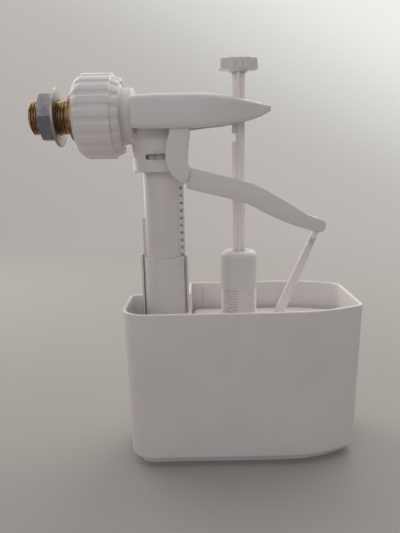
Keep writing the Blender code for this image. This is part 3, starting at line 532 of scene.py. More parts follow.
def pushed(name, outline, a, b, slot_name="white_plastic", axis="Z", edge=0.0, centre=(0, 0, 0)):
    # an outline in the plane across the axis, pushed from a to b; Y outlines are (x, z)
    bm = bmesh.new()
    if axis == "Y":
        a, b = -b, -a
    low = [bm.verts.new((u, v, a)) for u, v in outline]
    high = [bm.verts.new((u, v, b)) for u, v in outline]
    bm.faces.new(reversed(low))
    bm.faces.new(high)
    for i in range(len(outline)):
        j = (i + 1) % len(outline)
        bm.faces.new((low[i], low[j], high[j], high[i]))
    bm.transform(Matrix.Translation(centre) @ ALONG[axis])
    piece = shape(name, bm, slot_name)
    return settle(soften(piece, edge)) if edge > 0 else piece


def block(name, x0, x1, y0, y1, z0, z1, slot_name="white_plastic", edge=0.0):
    return pushed(name, [(x0, y0), (x1, y0), (x1, y1), (x0, y1)], z0, z1, slot_name, "Z", edge)


print("up in an outline pushed along Y is", tuple(ALONG["Y"].to_3x3() @ Vector((0, 1, 0))))

# %% Turn a profile
def turned(name, profile, slot_name="white_plastic", axis="Z", centre=(0, 0, 0), sides=96, closed=True, field=None):
    # profile points are (radius, height, corner radius); field may move a point by angle and height
    line = rounded(profile, closed)
    bm = bmesh.new()
    rings = []
    for k in range(sides):
        a = 2 * math.pi * k / sides
        ring = []
        for r, h in line:
            if field:
                r = field(r, h, a)
            ring.append(bm.verts.new((r * math.cos(a), r * math.sin(a), h)))
        rings.append(ring)
    count = len(line)
    for k in range(sides):
        one, two = rings[k], rings[(k + 1) % sides]
        for i in range(count if closed else count - 1):
            j = (i + 1) % count
            bm.faces.new((one[i], one[j], two[j], two[i]))
    bmesh.ops.remove_doubles(bm, verts=bm.verts, dist=MERGE)
    bm.transform(Matrix.Translation(centre) @ ALONG[axis])
    return shape(name, bm, slot_name)


def round_bar(name, r, a, b, axis="Z", centre=(0, 0, 0), slot_name="white_plastic", edge=0.0, sides=64):
    if axis == "Y":
        a, b = -b, -a
    line = [(0.0, a), (r, a, edge), (r, b, edge), (0.0, b)]
    return turned(name, line, slot_name, axis, centre, sides, closed=False)


print("a facet of a 10 mm round bar is", round(10 * math.sin(math.pi / 64), 2), "mm wide")

# %% [markdown]
# ## Handing a piece to the frame
#
# Every finished piece rides on one body of the mechanism and takes the place
# of its CAD shape. One function does that for all of them, and prints how far
# the finished piece stands proud of the CAD shape, which is a good way to
# notice a slip in a size.

# %% Hand a finished piece to the frame
def wear(piece, body, *nodes):
    settle(piece)
    piece.data.transform(TO_FRAME)
    del piece["finish"]
    off = 0.0
    if nodes:
        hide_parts(*nodes)
        corners = [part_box(node) for node in nodes]
        for axis in range(3):
            places = [vert.co[axis] for vert in piece.data.vertices]
            off = max(off, min(low[axis] for low, high in corners) - min(places))
            off = max(off, max(places) - max(high[axis] for low, high in corners))
    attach(piece, body)
    size = len(piece.data.polygons)
    print("%s on %s: %d faces, stands %.2f mm proud of %s" % (piece.name, body, size, off / MM, nodes))


print(len(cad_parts), "CAD nodes wait for their pieces")

# %% [markdown]
# ## Tools for flowing shapes
#
# The guard, the lever and the cap's dome follow no circle. For these a soft
# line is drawn through a few measured points, and a row of cross-sections is
# skinned into a solid, as a boat builder lays planks over frames.

# %% Soft lines and lofts
def smooth_line(points, count):
    # a soft curve through all points, with count steps between each pair
    ends = [points[0], *points, points[-1]]
    line = []
    for i in range(1, len(ends) - 2):
        p0, p1, p2, p3 = (Vector(p) for p in ends[i - 1 : i + 3])
        for k in range(count):
            t = k / count
            a = 2 * p1 + (p2 - p0) * t
            b = (2 * p0 - 5 * p1 + 4 * p2 - p3) * t * t
            c = (3 * p1 - p0 - 3 * p2 + p3) * t**3
            line.append((a + b + c) / 2)
    return [*line, Vector(points[-1])]


def lofted(name, rings, slot_name="white_plastic", endless=False):
    # skins a row of rings that have the same number of points; an endless row closes on itself
    bm = bmesh.new()
    rows = [[bm.verts.new(point) for point in ring] for ring in rings]
    for one, two in zip(rows, rows[1:] + rows[:1] if endless else rows[1:]):
        for i in range(len(one)):
            j = (i + 1) % len(one)
            bm.faces.new((one[i], one[j], two[j], two[i]))
    if not endless:
        bm.faces.new(reversed(rows[0]))
        bm.faces.new(rows[-1])
    return shape(name, bm, slot_name)


print("a soft line through three points has", len(smooth_line([(0, 0), (1, 1), (2, 0)], 4)), "points")

# %% [markdown]
# ## The float chamber
#
# The chamber is one moulding: an open box with a step in its plan, in which
# the riser's sleeve stands. Both right corners sweep in with long arcs. Its
# walls lean in 1.4 mm towards the bottom, so that the mould lets go. A stack
# of inset outlines gives walls, rim and fillets at once: each point of the
# wall's profile becomes one ring of the loft.

# %% Chamber shell
FOOT_Z, FLOOR_Z, WALL = 4.0, 6.0, 1.8
CHAMBER = [
    (-20.2, -35.0, 12.0),
    (78.0, -35.0, 70.0),
    (100.5, -24.2, 5.0),
    (100.5, 20.8, 9.0),
    (80.0, 29.0, 45.0),
    (11.8, 29.0, 2.5),
    (11.8, 3.7, 1.5),
    (-20.2, 3.7, 5.0),
]
PLAN_MID, PLAN_HALF, DRAFT = (39.35, -3.0), (61.15, 32.0), 1.4
WALL_END = 7.0


def drafted(x, y, z):
    part = DRAFT * (RIM_Z - z) / (RIM_Z - FOOT_Z)
    x = PLAN_MID[0] + (x - PLAN_MID[0]) * (1 - part / PLAN_HALF[0])
    y = PLAN_MID[1] + (y - PLAN_MID[1]) * (1 - part / PLAN_HALF[1])
    return Vector((x, y, z))


wall_line = rounded(
    [
        (WALL_END, FOOT_Z),
        (0.0, FOOT_Z, 2.2),
        (0.0, RIM_Z, 0.7),
        (WALL, RIM_Z, 0.7),
        (WALL, FLOOR_Z, 2.0),
        (WALL_END, FLOOR_Z),
    ],
    closed=False,
)
rings = [[drafted(p.x, p.y, z) for p in rounded(inset(CHAMBER, by), facet=3)] for by, z in wall_line]
chamber = lofted("chamber_shell", rings)
print("the shell has", len(rings), "rings of", len(rings[0]), "points")

# %% [markdown]
# ### Foot, sleeve and guides
#
# A low foot with two gaps runs under the floor, and the riser slides in a
# tall sleeve. Two guides beside the sleeve keep the riser from turning: the
# left one holds its rib, the right one its rack. All of them are joined to
# the shell first.

# %% Foot, ribs, sleeve and guides
foot_wall = rounded([(6.0, FOOT_Z + 1), (6.0, 0.0, 0.5), (8.0, 0.0, 0.5), (8.0, FOOT_Z + 1)], closed=False)
foot_rings = [[Vector((p.x, p.y, z)) for p in rounded(inset(CHAMBER, by))] for by, z in foot_wall]
foot = lofted("foot", foot_rings, endless=True)
ribs = [block("rib", x, x + 1.0, 25.6, 27.7, FLOOR_Z - 0.5, RIM_Z - 1.5, edge=0.3) for x in (21.0, 65.4)]
SLEEVE_R, BORE_R, SLEEVE_TOP, GUIDE_TOP = 10.9, 10.1, 105.1, 106.3
sleeve_line = [
    (9.8, FOOT_Z), (SLEEVE_R, FOOT_Z), (SLEEVE_R, SLEEVE_TOP, 0.3),
    (BORE_R, SLEEVE_TOP, 0.2), (9.8, SLEEVE_TOP - 0.5),
]
sleeve = turned("sleeve", sleeve_line)
left_guide = block("left_guide", -12.7, -9.1, -1.9, 1.9, FOOT_Z, GUIDE_TOP, edge=0.35)
guide_line = rounded([(5.10, -9.63), (11.5, -6.25, 0.4), (11.5, -1.2, 0.4), (8.5, -1.2)])
right_guide = pushed("right_guide", guide_line, FOOT_Z, SLEEVE_TOP + 0.4)
latch_seat = block("latch_seat", 10.2, 13.0, -7.0, -1.4, 66.8, 74.5, edge=0.3)
ears = [block("ear", 8.6, 13.1, y, y + 1.4, 19.4, 22.6, edge=0.2) for y in (8.7, 23.9)]
work(chamber, [foot, sleeve, left_guide, right_guide, latch_seat, *ribs, *ears], "UNION")
print("the sleeve stands", round(SLEEVE_TOP - RIM_Z, 1), "mm above the rim")

# %% [markdown]
# ### Bore and slots
#
# One core in the mould leaves the bore and its slots, so here too they are
# joined to one cutter. The slots open to the front near the top, where the
# photograph shows the rack and the rib.

# %% Bore, slots, drain and gaps
CUT_LOW, CUT_TOP = -1.0, GUIDE_TOP + 1
bore = round_bar("bore", BORE_R, CUT_LOW, CUT_TOP, sides=128)
rib_slot = block("rib_slot", -11.6, -8.1, -0.8, 0.8, CUT_LOW, CUT_TOP)
rib_view = block("rib_view", -11.6, -10.4, -3.0, 0.5, 72.0, CUT_TOP)
fin_slot = block("fin_slot", 6.4, 11.6, -5.3, -2.3, CUT_LOW, CUT_TOP)
fin_view = block("fin_view", 10.4, 11.6, -8.0, -3.0, 75.0, CUT_TOP)
work(bore, [rib_slot, rib_view, fin_slot, fin_view], "UNION")
drain = block("drain", 9.0, 15.8, 12.0, 22.0, 9.0, 18.0, edge=0.8)
pin_way = round_bar("pin_way", 1.1, 7.7, 26.3, "Y", (10.2, 0, 21.0), sides=24)
gaps = [block("gap", x0, x1, 13.0, 29.0, CUT_LOW, FOOT_Z) for x0, x1 in ((24, 44), (56, 76))]
work(chamber, [bore, drain, pin_way, *gaps], "DIFFERENCE")
chamber.name = "moulded_chamber"
wear(chamber, "chamber", "float_chamber")

# %% [markdown]
# ## The riser tube
#
# The riser carries the valve's head and hands the water down into the
# chamber. A thin fin on its right is the rack: a row of round holes, one
# every 3.85 mm, for the latch that sets the height. The holes look dark in
# the photograph, so they are cut as deep pits that end just short of the
# fin's back. A plain rib on the left keeps the tube from turning.

# %% Riser with rack and rib
RISER_R, RISER_BORE, RISER_LOW, RISER_TOP = 9.85, 7.6, 34.8, 163.6
RACK_HOLES, RACK_STEP, HOLE_R, HOLE_X, HOLE_TOP = 24, 3.85, 0.8, 9.75, 144.95
riser_line = [(RISER_R, RISER_TOP), (RISER_R, RISER_LOW), (RISER_BORE, RISER_LOW), (RISER_BORE, RISER_TOP)]
riser = turned("riser", [(r, z, 0.25) for r, z in riser_line], sides=128)
fin = block("fin", 8.2, 11.2, -5.0, -2.6, RISER_LOW, 147.0, edge=0.25)
keel = block("keel", -11.3, -8.6, -0.5, 0.5, RISER_LOW, 125.6, edge=0.2)
work(riser, [fin, keel], "UNION")
for k in range(RACK_HOLES):
    hole_at = (HOLE_X, 0, HOLE_TOP - RACK_STEP * k)
    work(riser, [round_bar("hole", HOLE_R, -6.0, -2.85, "Y", hole_at, sides=24)], "DIFFERENCE")
riser.name = "riser_with_rack"
wear(riser, "valve_head", "riser_tube")

# %% [markdown]
# ## The valve body
#
# Where the round bell, the collar and the bridge between them meet, a real
# moulding has soft fillets everywhere. Booleans give hard seams, so this
# piece is joined first and then rebuilt from small voxels and smoothed a
# little, which rounds every inner and outer corner by about half a
# millimetre, as the mould does.

# %% Bell
body = turned(
    "bell",
    [
        (0.0, 168.9), (12.9, 168.9, 1.5), (14.6, 165.2, 2.0), (14.6, 149.3, 0.5), (13.2, 149.3, 0.5),
        (13.2, 163.2), (11.2, 163.2), (11.2, 150.8), (10.1, 150.8), (10.1, 163.9),
        (7.6, 163.9), (7.6, 166.8), (0.0, 166.8),
    ],
    closed=False,
)
print("the bell has", len(body.data.polygons), "faces before it is joined")

# %% Collar, spigot, bridge, lip and ears
AXIS = (0, 0, INLET_Z)
PIVOT = (3.5, 172.7)
PIVOT_AT = (PIVOT[0], 0, PIVOT[1])
collar_line = [(0, -20.0), (13.8, -20.0), (13.8, -12.7, 1.0), (0, -12.7)]
collar = turned("collar", collar_line, axis="X", centre=AXIS, closed=False)
spigot_line = [(0, -34.3), (16.3, -34.3), (16.3, -18.9), (0, -18.9)]
spigot = turned("spigot", spigot_line, axis="X", centre=AXIS, closed=False)
bridge = block("bridge", -14.5, -4.9, -7.0, 7.0, 163.6, 168.7)
lip = turned("lip", [(13.5, 171.4, 0.3), (13.5, 167.0), (12.3, 167.0), (12.3, 171.4, 0.3)])
work(lip, [block("lip_part", -15, 15, -15, -4.5, 160, 180)], "INTERSECT")
arc = [(PIVOT[0] + 3.1 * math.cos(a), PIVOT[1] + 3.1 * math.sin(a)) for a in (math.pi * k / 16 for k in range(17))]
ear_line = [(0.4, 168.0), (6.6, 168.0), *arc]
ears = [pushed("ear", ear_line, y + 0.1, y + 2.1, axis="Y") for y in (-9.0, 3.3)]
work(body, [collar, spigot, bridge, lip, *ears], "UNION")
print("the body has", len(body.data.polygons), "faces once joined")

# %% Water ways, window and rounding
cavity = round_bar("cavity", 12.1, -36.0, -17.1, "X", AXIS)
jet_way = round_bar("jet_way", 2.6, -18.0, -11.0, "X", AXIS, sides=32)
channel = block("channel", -21.1, 0.0, -4.0, 4.0, 164.6, 166.9)
window_line = [(-7.0, 155.6, 1.1), (5.0, 155.6, 1.1), (5.0, 158.0, 1.1), (-7.0, 158.0, 1.1)]
window = pushed("window", rounded(window_line), -16, -9.95, axis="Y")
scoop = pushed("scoop", rounded(inset(window_line, -1.4)), -16, -13.6, axis="Y", edge=0.9)
pin_way = round_bar("pin_way", 1.9, -10.0, 7.0, "Y", PIVOT_AT, sides=32)
work(body, [cavity, jet_way, channel, window, scoop, pin_way], "DIFFERENCE")
voxels = body.modifiers.new("voxels", "REMESH")
voxels.mode = "VOXEL"
voxels.voxel_size = 0.42
even = body.modifiers.new("even", "SMOOTH")
even.factor = 0.5
even.iterations = 5
body.name = "moulded_valve_body"
wear(body, "valve_head", "valve_body")

# %% [markdown]
# ## The union nut
#
# The big cap that holds the brass tail on the body is turned in the CAD
# model. Its grip is a ring of flat ribs round the band: each rib is a shallow
# rise, made by moving the turned points in and out with the angle. A square
# wave with soft flanks looks moulded, where a plain sine looks like a flower.

# %% Union nut
GRIPS, GRIP_DEPTH, GRIP_FROM_R, GRIP_FROM_X = 20, 0.5, 16.9, -41.0


def ribbed(r, h, a):
    if r < GRIP_FROM_R or h < GRIP_FROM_X:
        return r
    wave = math.cos(GRIPS * a)
    low = 1 / (1 + math.exp(5 * (wave + 0.30)))
    fade = min(1.0, max(0.0, (r - GRIP_FROM_R) / 1.6))
    return r - GRIP_DEPTH * low * fade


dome = smooth_line([(15.5, -41.9), (17.6, -41.0), (19.6, -39.1), (20.9, -36.6)], 4)
nut_line = [
    *[(p.x, p.y) for p in dome],
    (20.9, -30.0), (20.9, -22.6, 0.9), (19.35, -22.2, 0.3), (19.35, -21.2, 0.5), (18.1, -18.5, 0.5),
    (16.7, -18.5, 0.2), (16.7, -38.8, 0.2), (8.7, -38.8, 0.2), (8.7, -42.0, 0.4), (14.9, -42.0, 0.6),
]
nut = turned("union_nut_ribbed", nut_line, axis="X", centre=AXIS, sides=360, field=ribbed)
wear(nut, "valve_head", "union_nut")

# %% [markdown]
# ## The brass tail
#
# A three-eighths pipe thread has 19 turns to the inch, so its pitch is
# 1.337 mm and its depth 0.856 mm. The thread is a real helix: the radius of
# the turned shape is a wave of the height, and the wave's start moves on by
# one pitch in one turn. Crests and roots are rounded as the thread standard
# asks. It fades out at both ends.

# %% Brass tail with its thread
PITCH, DEPTH, CREST = 1.337, 0.856, 8.33
TAIL_END, THREAD_OUT, ROW_STEP, ROWS = -64.5, -45.6, 0.1114, 165


def threaded(r, h, a):
    # only the turned rows near the crest's radius belong to the thread
    if r < 8.2 or r > 8.5 or h < TAIL_END - 0.1 or h > THREAD_OUT + 0.2:
        return r
    turn_part = (h / PITCH + a / (2 * math.pi)) % 1.0
    flank = abs(2 * turn_part - 1)
    tooth = min(1.0, max(0.0, (flank - 0.12) / 0.76))
    tooth = tooth * tooth * (3 - 2 * tooth)
    ends = min(1.0, max(0.0, (h - TAIL_END) / 0.9)) * min(1.0, max(0.0, (THREAD_OUT - h) / 1.2))
    return CREST - DEPTH * (1 - tooth) * ends


rows = [(CREST, -63.9 + ROW_STEP * k) for k in range(ROWS)]
tail_line = [
    (5.6, TAIL_END, 0.3), (7.6, TAIL_END), (8.25, -64.1), *rows, (CREST, -45.2), (11.7, -44.3, 0.2),
    (11.9, -42.3, 0.3), (CREST, -42.3), (CREST, -36.7), (5.6, -36.7),
]
tail = turned("threaded_tail", tail_line, "brass", "X", AXIS, 120, field=threaded)
wear(tail, "valve_head", "inlet_shank")

# %% [markdown]
# ## Washer and hexagon nut
#
# The washer is stamped from sheet: one edge is rounded where the punch went
# in. The hexagon nut has a 30 degree chamfer on its outer face, which cuts
# the six corners to those curved edges that every real nut shows. A cone that
# is kept in common with the hexagon makes exactly those.

# %% Washer
HOLE = 8.63
washer_line = [(14.4, -50.5, 0.5), (14.4, -52.0, 0.2), (HOLE, -52.0, 0.2), (HOLE, -50.5, 0.2)]
washer = turned("washer", washer_line, "washer_steel", "X", AXIS, 128)
wear(washer, "washer", "clamp_washer")

# %% Hexagon nut
ACROSS, NUT_X0, NUT_X1 = 22.1, -59.5, -52.3
corner_r = ACROSS / 2 / math.cos(math.pi / 6)
hexagon = [(corner_r * math.cos(a), corner_r * math.sin(a)) for a in (math.pi * k / 3 for k in range(6))]
hex_nut = pushed("hexagon_nut", hexagon, NUT_X0, NUT_X1, "zinc_steel", "X", 0.15, AXIS)
cone_line = [(0, NUT_X0), (10.8, NUT_X0), (14.3, NUT_X0 + 2.0), (16.0, NUT_X1), (0, NUT_X1)]
cone = turned("cone", cone_line, "zinc_steel", "X", AXIS, 128, False)
work(hex_nut, [cone], "INTERSECT")
way_line = [
    (0, NUT_X0 - 1), (9.9, NUT_X0 - 1), (HOLE, NUT_X0 + 0.7),
    (HOLE, NUT_X1 - 0.7), (9.6, NUT_X1 + 1), (0, NUT_X1 + 1),
]
thread_way = turned("thread_way", way_line, "zinc_steel", "X", AXIS, 96, False)
work(hex_nut, [thread_way], "DIFFERENCE")
wear(hex_nut, "nut", "backnut")

# %% [markdown]
# ## The guard
#
# The long pointed cover over the lever's head is a thin boat turned upside
# down: it tapers in the side view and in the plan, and is open below. Each
# cross-section is a soft rectangle, the kind that comes from the formula for
# a squircle. A row of them from the collar to the tip gives the outside, a
# smaller row, drawn open downwards, is cut out of it.

# %% Guard's lines
GUARD_X0, GUARD_X1, GUARD_WALL = -12.2, 54.9, 1.4
GUARD_FRONT, GUARD_BACK, GUARD_MID = -22.4, 8.4, -7.0
GUARD_SIDE = [
    (0.0, 8.1), (0.12, 8.6), (0.30, 8.7), (0.46, 8.65), (0.54, 8.4), (0.62, 7.75),
    (0.71, 6.8), (0.80, 5.45), (0.89, 3.8), (0.97, 1.95), (1.0, 1.3),
]
GUARD_RISE = [(0.0, 0.0), (0.6, 0.0), (0.71, 0.1), (0.80, 0.25), (0.89, 0.6), (0.95, 1.1), (1.0, 1.75)]
GUARD_PLAN = [(0.0, 1.0), (0.25, 0.97), (0.5, 0.84), (0.75, 0.58), (0.9, 0.34), (1.0, 0.16)]
side_line, rise_line, plan_line = (
    [(p.x, p.y) for p in smooth_line(table, 6)] for table in (GUARD_SIDE, GUARD_RISE, GUARD_PLAN)
)


def read_off(table, t):
    # a straight reading between the rows of a table
    for (t0, v0), (t1, v1) in zip(table, table[1:]):
        if t <= t1:
            return v0 + (v1 - v0) * (t - t0) / (t1 - t0)
    return table[-1][1]


print("half height in the guard's middle:", round(read_off(side_line, 0.5), 2), "mm")

# %% Guard's cross-section
SQUARENESS, THINNEST, TUCK, TUCK_FROM, TUCK_OVER, TAPER_FROM = 0.32, 0.25, 0.24, 9.0, 14.0, 17.0


def guard_ring(x, trim, below):
    # one squircle; its lower back edge is tucked up, and below > 0 draws it open downwards
    along = (x - GUARD_X0) / (GUARD_X1 - GUARD_X0)
    side = max(read_off(side_line, along) - trim, THINNEST)
    rise = read_off(rise_line, along)
    tuck = TUCK * min(1.0, max(0.0, (x - TUCK_FROM) / TUCK_OVER))
    width = read_off(plan_line, max(0.0, (x - TAPER_FROM) / (GUARD_X1 - TAPER_FROM)))
    front = GUARD_MID + (GUARD_FRONT - GUARD_MID) * width + trim
    back = GUARD_MID + (GUARD_BACK - GUARD_MID) * width - trim
    middle, half = (front + back) / 2, max((back - front) / 2, THINNEST)
    ring = []
    for k in range(72):
        a = 2 * math.pi * (k + 0.5) / 72
        c, s = math.cos(a), math.sin(a)
        y = math.copysign(abs(c) ** SQUARENESS, c) * half
        z = math.copysign(abs(s) ** SQUARENESS, s) * side
        if s < 0 and c > 0:
            z *= 1 - tuck * c
        if below and s < 0:
            z = -below
        ring.append(Vector((x, middle + y, INLET_Z + rise + z)))
    return ring


def stations(start, end, count):
    return [start + (end - start) * k / count for k in range(count + 1)]


print("the guard is", GUARD_X1 - GUARD_X0, "mm long")

# %% Guard
SPINDLE = (39.2, -7.0, 0.0)
guard = lofted("guard", [guard_ring(x, 0.0, 0.0) for x in stations(GUARD_X0, GUARD_X1, 90)])
hollow = lofted("hollow", [guard_ring(x, GUARD_WALL, 12.0) for x in stations(-13.5, GUARD_X1 - 4.4, 60)])
work(guard, [hollow], "DIFFERENCE")
work(guard, [round_bar("eye_boss", 4.85, INLET_Z - 3.6, INLET_Z + 5.0, "Z", SPINDLE, edge=0.3)], "UNION")
work(guard, [round_bar("eye_way", 3.55, INLET_Z - 12, INLET_Z + 12, "Z", SPINDLE)], "DIFFERENCE")
guard.name = "boat_guard"
wear(guard, "valve_head", "head_guard")

# %% [markdown]
# ## The lever
#
# The lever is a bell crank: a short upright lug under the guard presses the
# pilot pad on its jet, and the long arm goes down to the link. In section the
# arm is a channel, a flat web with a raised edge, open at the back, which is
# stiff and light. Its outline follows a centre line with a width at each
# point, and the lug stands 1.6 mm further forward, so that a slanted step
# shows where they meet.

# %% Lever outlines
ARM = [
    (14.0, 63.6, 10.0), (23.6, 61.1, 10.0), (32.5, 58.9, 10.0), (41.2, 56.5, 10.1), (47.8, 53.8, 10.2),
    (53.1, 50.8, 10.0), (59.1, 47.6, 9.6), (65.1, 44.4, 8.6), (71.1, 41.6, 7.2), (78.4, 39.2, 6.4),
]
TIP = (78.4, RIM_Z + 39.2)
TIP_AT, TIP_R, TIP_FACETS = (TIP[0], 0, TIP[1]), 3.2, 18


def arm_outline(trim):
    line = smooth_line(ARM, 6)
    top, low = [], []
    for k, here in enumerate(line):
        ahead = line[min(k + 1, len(line) - 1)] - line[max(k - 1, 0)]
        out = Vector((-ahead.y, ahead.x)).normalized() * (here.z / 2 - trim)
        top.append((here.x + out.x, RIM_Z + here.y + out.y))
        low.append((here.x - out.x, RIM_Z + here.y - out.y))
    start = math.atan2(low[-1][1] - TIP[1], low[-1][0] - TIP[0])
    for k in range(1, TIP_FACETS):
        a = start + math.pi * k / TIP_FACETS
        low.append((TIP[0] + (TIP_R - trim) * math.cos(a), TIP[1] + (TIP_R - trim) * math.sin(a)))
    return low + list(reversed(top))


LUG_LEFT = [
    (1.2, 98.4), (1.4, 93.0), (5.4, 86.5), (3.8, 80.0), (3.3, 74.8),
    (3.6, 70.1), (5.3, 66.6), (8.4, 63.0), (11.4, 60.9),
]
LUG_RIGHT = [(15.6, 68.2), (13.6, 71.5), (14.3, 77.1), (15.2, 86.7), (12.0, 93.0), (8.2, 98.4)]
lug_points = [*smooth_line(LUG_LEFT, 4), Vector((13.4, 61.2)), *smooth_line(LUG_RIGHT, 4)]
lug_outline = [(p.x, RIM_Z + p.y) for p in lug_points]
print("arm outline of", len(arm_outline(0)), "points, lug outline of", len(lug_outline))

# %% Lever
lever = pushed("arm", arm_outline(0.0), -18.8, -12.6, axis="Y", edge=0.55)
channel = pushed("channel", arm_outline(1.4), -17.0, -11.0, axis="Y", edge=0.4)
work(lever, [channel], "DIFFERENCE")
lug = pushed("lug", lug_outline, -20.4, -15.2, axis="Y", edge=0.95)
crossbar = block("crossbar", 1.2, 8.2, -16.2, 3.0, 176.3, 181.2, edge=0.4)
hub = round_bar("hub", 3.5, -6.5, 3.0, "Y", PIVOT_AT, edge=0.3, sides=48)
web = block("web", 1.2, 6.7, -6.5, 3.0, PIVOT[1], INLET_Z, edge=0.2)
nose = block("nose", -7.0, 3.0, -2.6, 2.6, INLET_Z - 2.6, INLET_Z + 2.6, edge=0.3)
work(lever, [lug, crossbar, hub, web, nose], "UNION")
print("the lever has", len(lever.data.polygons), "faces once joined")

# %% Lever's bore, slit, notch and stub
lever_bore = round_bar("lever_bore", 1.8, -7.5, 4.0, "Y", PIVOT_AT, sides=32)
slit = block("slit", TIP[0] - 14, TIP[0] + 2.6, -17.0, -11.6, TIP[1] - 12, TIP[1] - 0.5)
eye_room = round_bar("eye_room", 3.6, -17.0, -11.6, "Y", TIP_AT, sides=48)
notch = block("notch", 32.6, 33.5, -19.2, -17.6, RIM_Z + 63.6, RIM_Z + 65.0)
work(lever, [lever_bore, slit, eye_room, notch], "DIFFERENCE")
stub = round_bar("stub", 1.2, -17.6, -12.6, "Y", TIP_AT, edge=0.2, sides=32)
work(lever, [stub], "UNION")
lever.name = "bell_crank_lever"
wear(lever, "bell_crank", "lever")

# %% [markdown]
# ## The link
#
# The link hangs from the lever's tip and goes down through the float to the
# spindle's foot. It is a thin strip with a shallow flute moulded in its
# front, which leaves the two raised edges that catch the light.

# %% Link's outline
FOOT_STUB = (39.2, RIM_Z - 54.0)
FOOT_AT = (FOOT_STUB[0], 0, FOOT_STUB[1])
lean = Vector(TIP) - Vector(FOOT_STUB)
slope = Matrix.Rotation(-math.atan2(lean.x, lean.y), 2)


def strip(half, half_top, low, high):
    # a strip that narrows near its top, laid along the line from the foot to the lever's tip
    right = [(half, low), (half, lean.length * 0.56), (half_top, lean.length * 0.93), (half_top, high)]
    ring = [(-half, low), *right, *((-x, y) for x, y in reversed(right[1:]))]
    return [(FOOT_STUB[0] + p.x, FOOT_STUB[1] + p.y) for p in (slope @ Vector(q) for q in ring)]


print("the link's eyes are", round(lean.length, 2), "mm apart")

# %% Link
LINK_FRONT, LINK_BACK = -16.6, -13.8
link = pushed("link", strip(2.4, 1.6, 0.0, lean.length), LINK_FRONT, LINK_BACK, "natural_plastic", "Y", 0.35)
eyes = [
    round_bar("eye", r, LINK_FRONT, LINK_BACK, "Y", at, "natural_plastic", 0.3, 48)
    for r, at in ((2.6, TIP_AT), (3.7, FOOT_AT))
]
work(link, eyes, "UNION")
flute = pushed("flute", strip(1.4, 0.6, 9.0, lean.length * 0.9), -17.6, -15.7, axis="Y", edge=0.3)
ways = [round_bar("way", r, -17.6, -12.8, "Y", at, sides=32) for r, at in ((1.5, TIP_AT), (2.2, FOOT_AT))]
work(link, [flute, *ways], "DIFFERENCE")
link.name = "fluted_link"
wear(link, "link_strip", "link")

# %% [markdown]
# ## The spindle
#
# The rod that sets the water level has a cross for its section: a moulder
# gives a long thin part ribs, not bulk, because thick plastic sinks as it
# cools. The small window in its left rib is real.

# %% Spindle rod
ROD_LOW, ROD_TOP = 33.6, 198.8
reach, rib = 3.25, 0.75
cross = [
    (rib, -reach, 0.3), (rib, -rib, 0.5), (reach, -rib, 0.3),
    (reach, rib, 0.3), (rib, rib, 0.5), (rib, reach, 0.3),
    (-rib, reach, 0.3), (-rib, rib, 0.5), (-reach, rib, 0.3),
    (-reach, -rib, 0.3), (-rib, -rib, 0.5), (-rib, -reach, 0.3),
]
rod = pushed("rod", rounded(cross), ROD_LOW, ROD_TOP, "natural_plastic", "Z", 0.0, SPINDLE)
journal = round_bar("journal", 2.4, 22.1, ROD_LOW + 2, "Z", SPINDLE, "natural_plastic", 0.3, 48)
work(rod, [journal], "UNION")
rod_window = block("rod_window", 34.9, 37.85, -8.5, -5.5, RIM_Z + 80.7, RIM_Z + 84.7, edge=0.3)
work(rod, [rod_window], "DIFFERENCE")
rod.name = "cross_rod"
wear(rod, "spindle", "spindle_rod")

# %% [markdown]
# ### The knob
#
# The knob on the rod is an oblong that a finger and a thumb can turn, with
# grooves round its edge for grip. It is turned as a disc. A field then pulls
# the disc's edge in to a squircle, which leaves the neck round, and presses
# the grooves into it.

# %% Knob with grip lobes
LOBES, LOBE_DEPTH, LOBE_START = 10, 1.0, math.radians(69)
KNOB_R, KNOB_DEEP, NECK_R, SOCKET_R = 9.6, 6.0, 4.3, 3.55
KNOB_LOW, KNOB_TOP = 197.6, 202.2


def lobed(r, h, a):
    if r <= NECK_R:
        return r
    edge = (abs(math.cos(a) / KNOB_R) ** 3 + abs(math.sin(a) / KNOB_DEEP) ** 3) ** (-1 / 3)
    r = NECK_R + (r - NECK_R) * (edge - NECK_R) / (KNOB_R - NECK_R)
    groove = (0.5 + 0.5 * math.cos(LOBES * (a + LOBE_START))) ** 3
    return r - LOBE_DEPTH * groove * min(1.0, max(0.0, (r - NECK_R) / 1.5))


knob_line = [
    (0.0, 199.1), (SOCKET_R, 199.1), (SOCKET_R, 196.2, 0.1), (NECK_R, 196.2, 0.2), (5.2, 197.3, 0.4),
    (KNOB_R, KNOB_LOW, 0.5), (KNOB_R, KNOB_TOP, 0.6), (6.4, KNOB_TOP, 0.4), (0.0, KNOB_TOP),
]
knob = turned("grip_knob", knob_line, centre=SPINDLE, sides=288, closed=False, field=lobed)
wear(knob, "spindle", "spindle_knob")

# %% [markdown]
# ## The guide cylinder
#
# The rod runs through a white cap that the float's collar grips. Fine ring
# grooves, one every 1.44 mm, run round its lower part and stop at a flat band
# on the front. They come from a wave in the radius, which is switched off
# inside the band's angle.

# %% Ringed cylinder
CYLINDER_R, CYLINDER_TOP, RING_PITCH, RING_DEPTH, RINGS_TOP = 9.35, 108.5, 1.44, 0.85, 89.2
BAND_ANGLE, BAND_HALF = math.radians(-79), math.radians(17)


def ringed(r, h, a):
    if r < CYLINDER_R - 0.05 or h > RINGS_TOP or h < 62.0:
        return r
    off = abs((a - BAND_ANGLE + math.pi) % (2 * math.pi) - math.pi)
    share = min(1.0, max(0.0, (off - BAND_HALF) / 0.12))
    wave = 0.5 - 0.5 * math.cos(2 * math.pi * (RINGS_TOP - h) / RING_PITCH)
    return r - RING_DEPTH * wave**1.6 * share


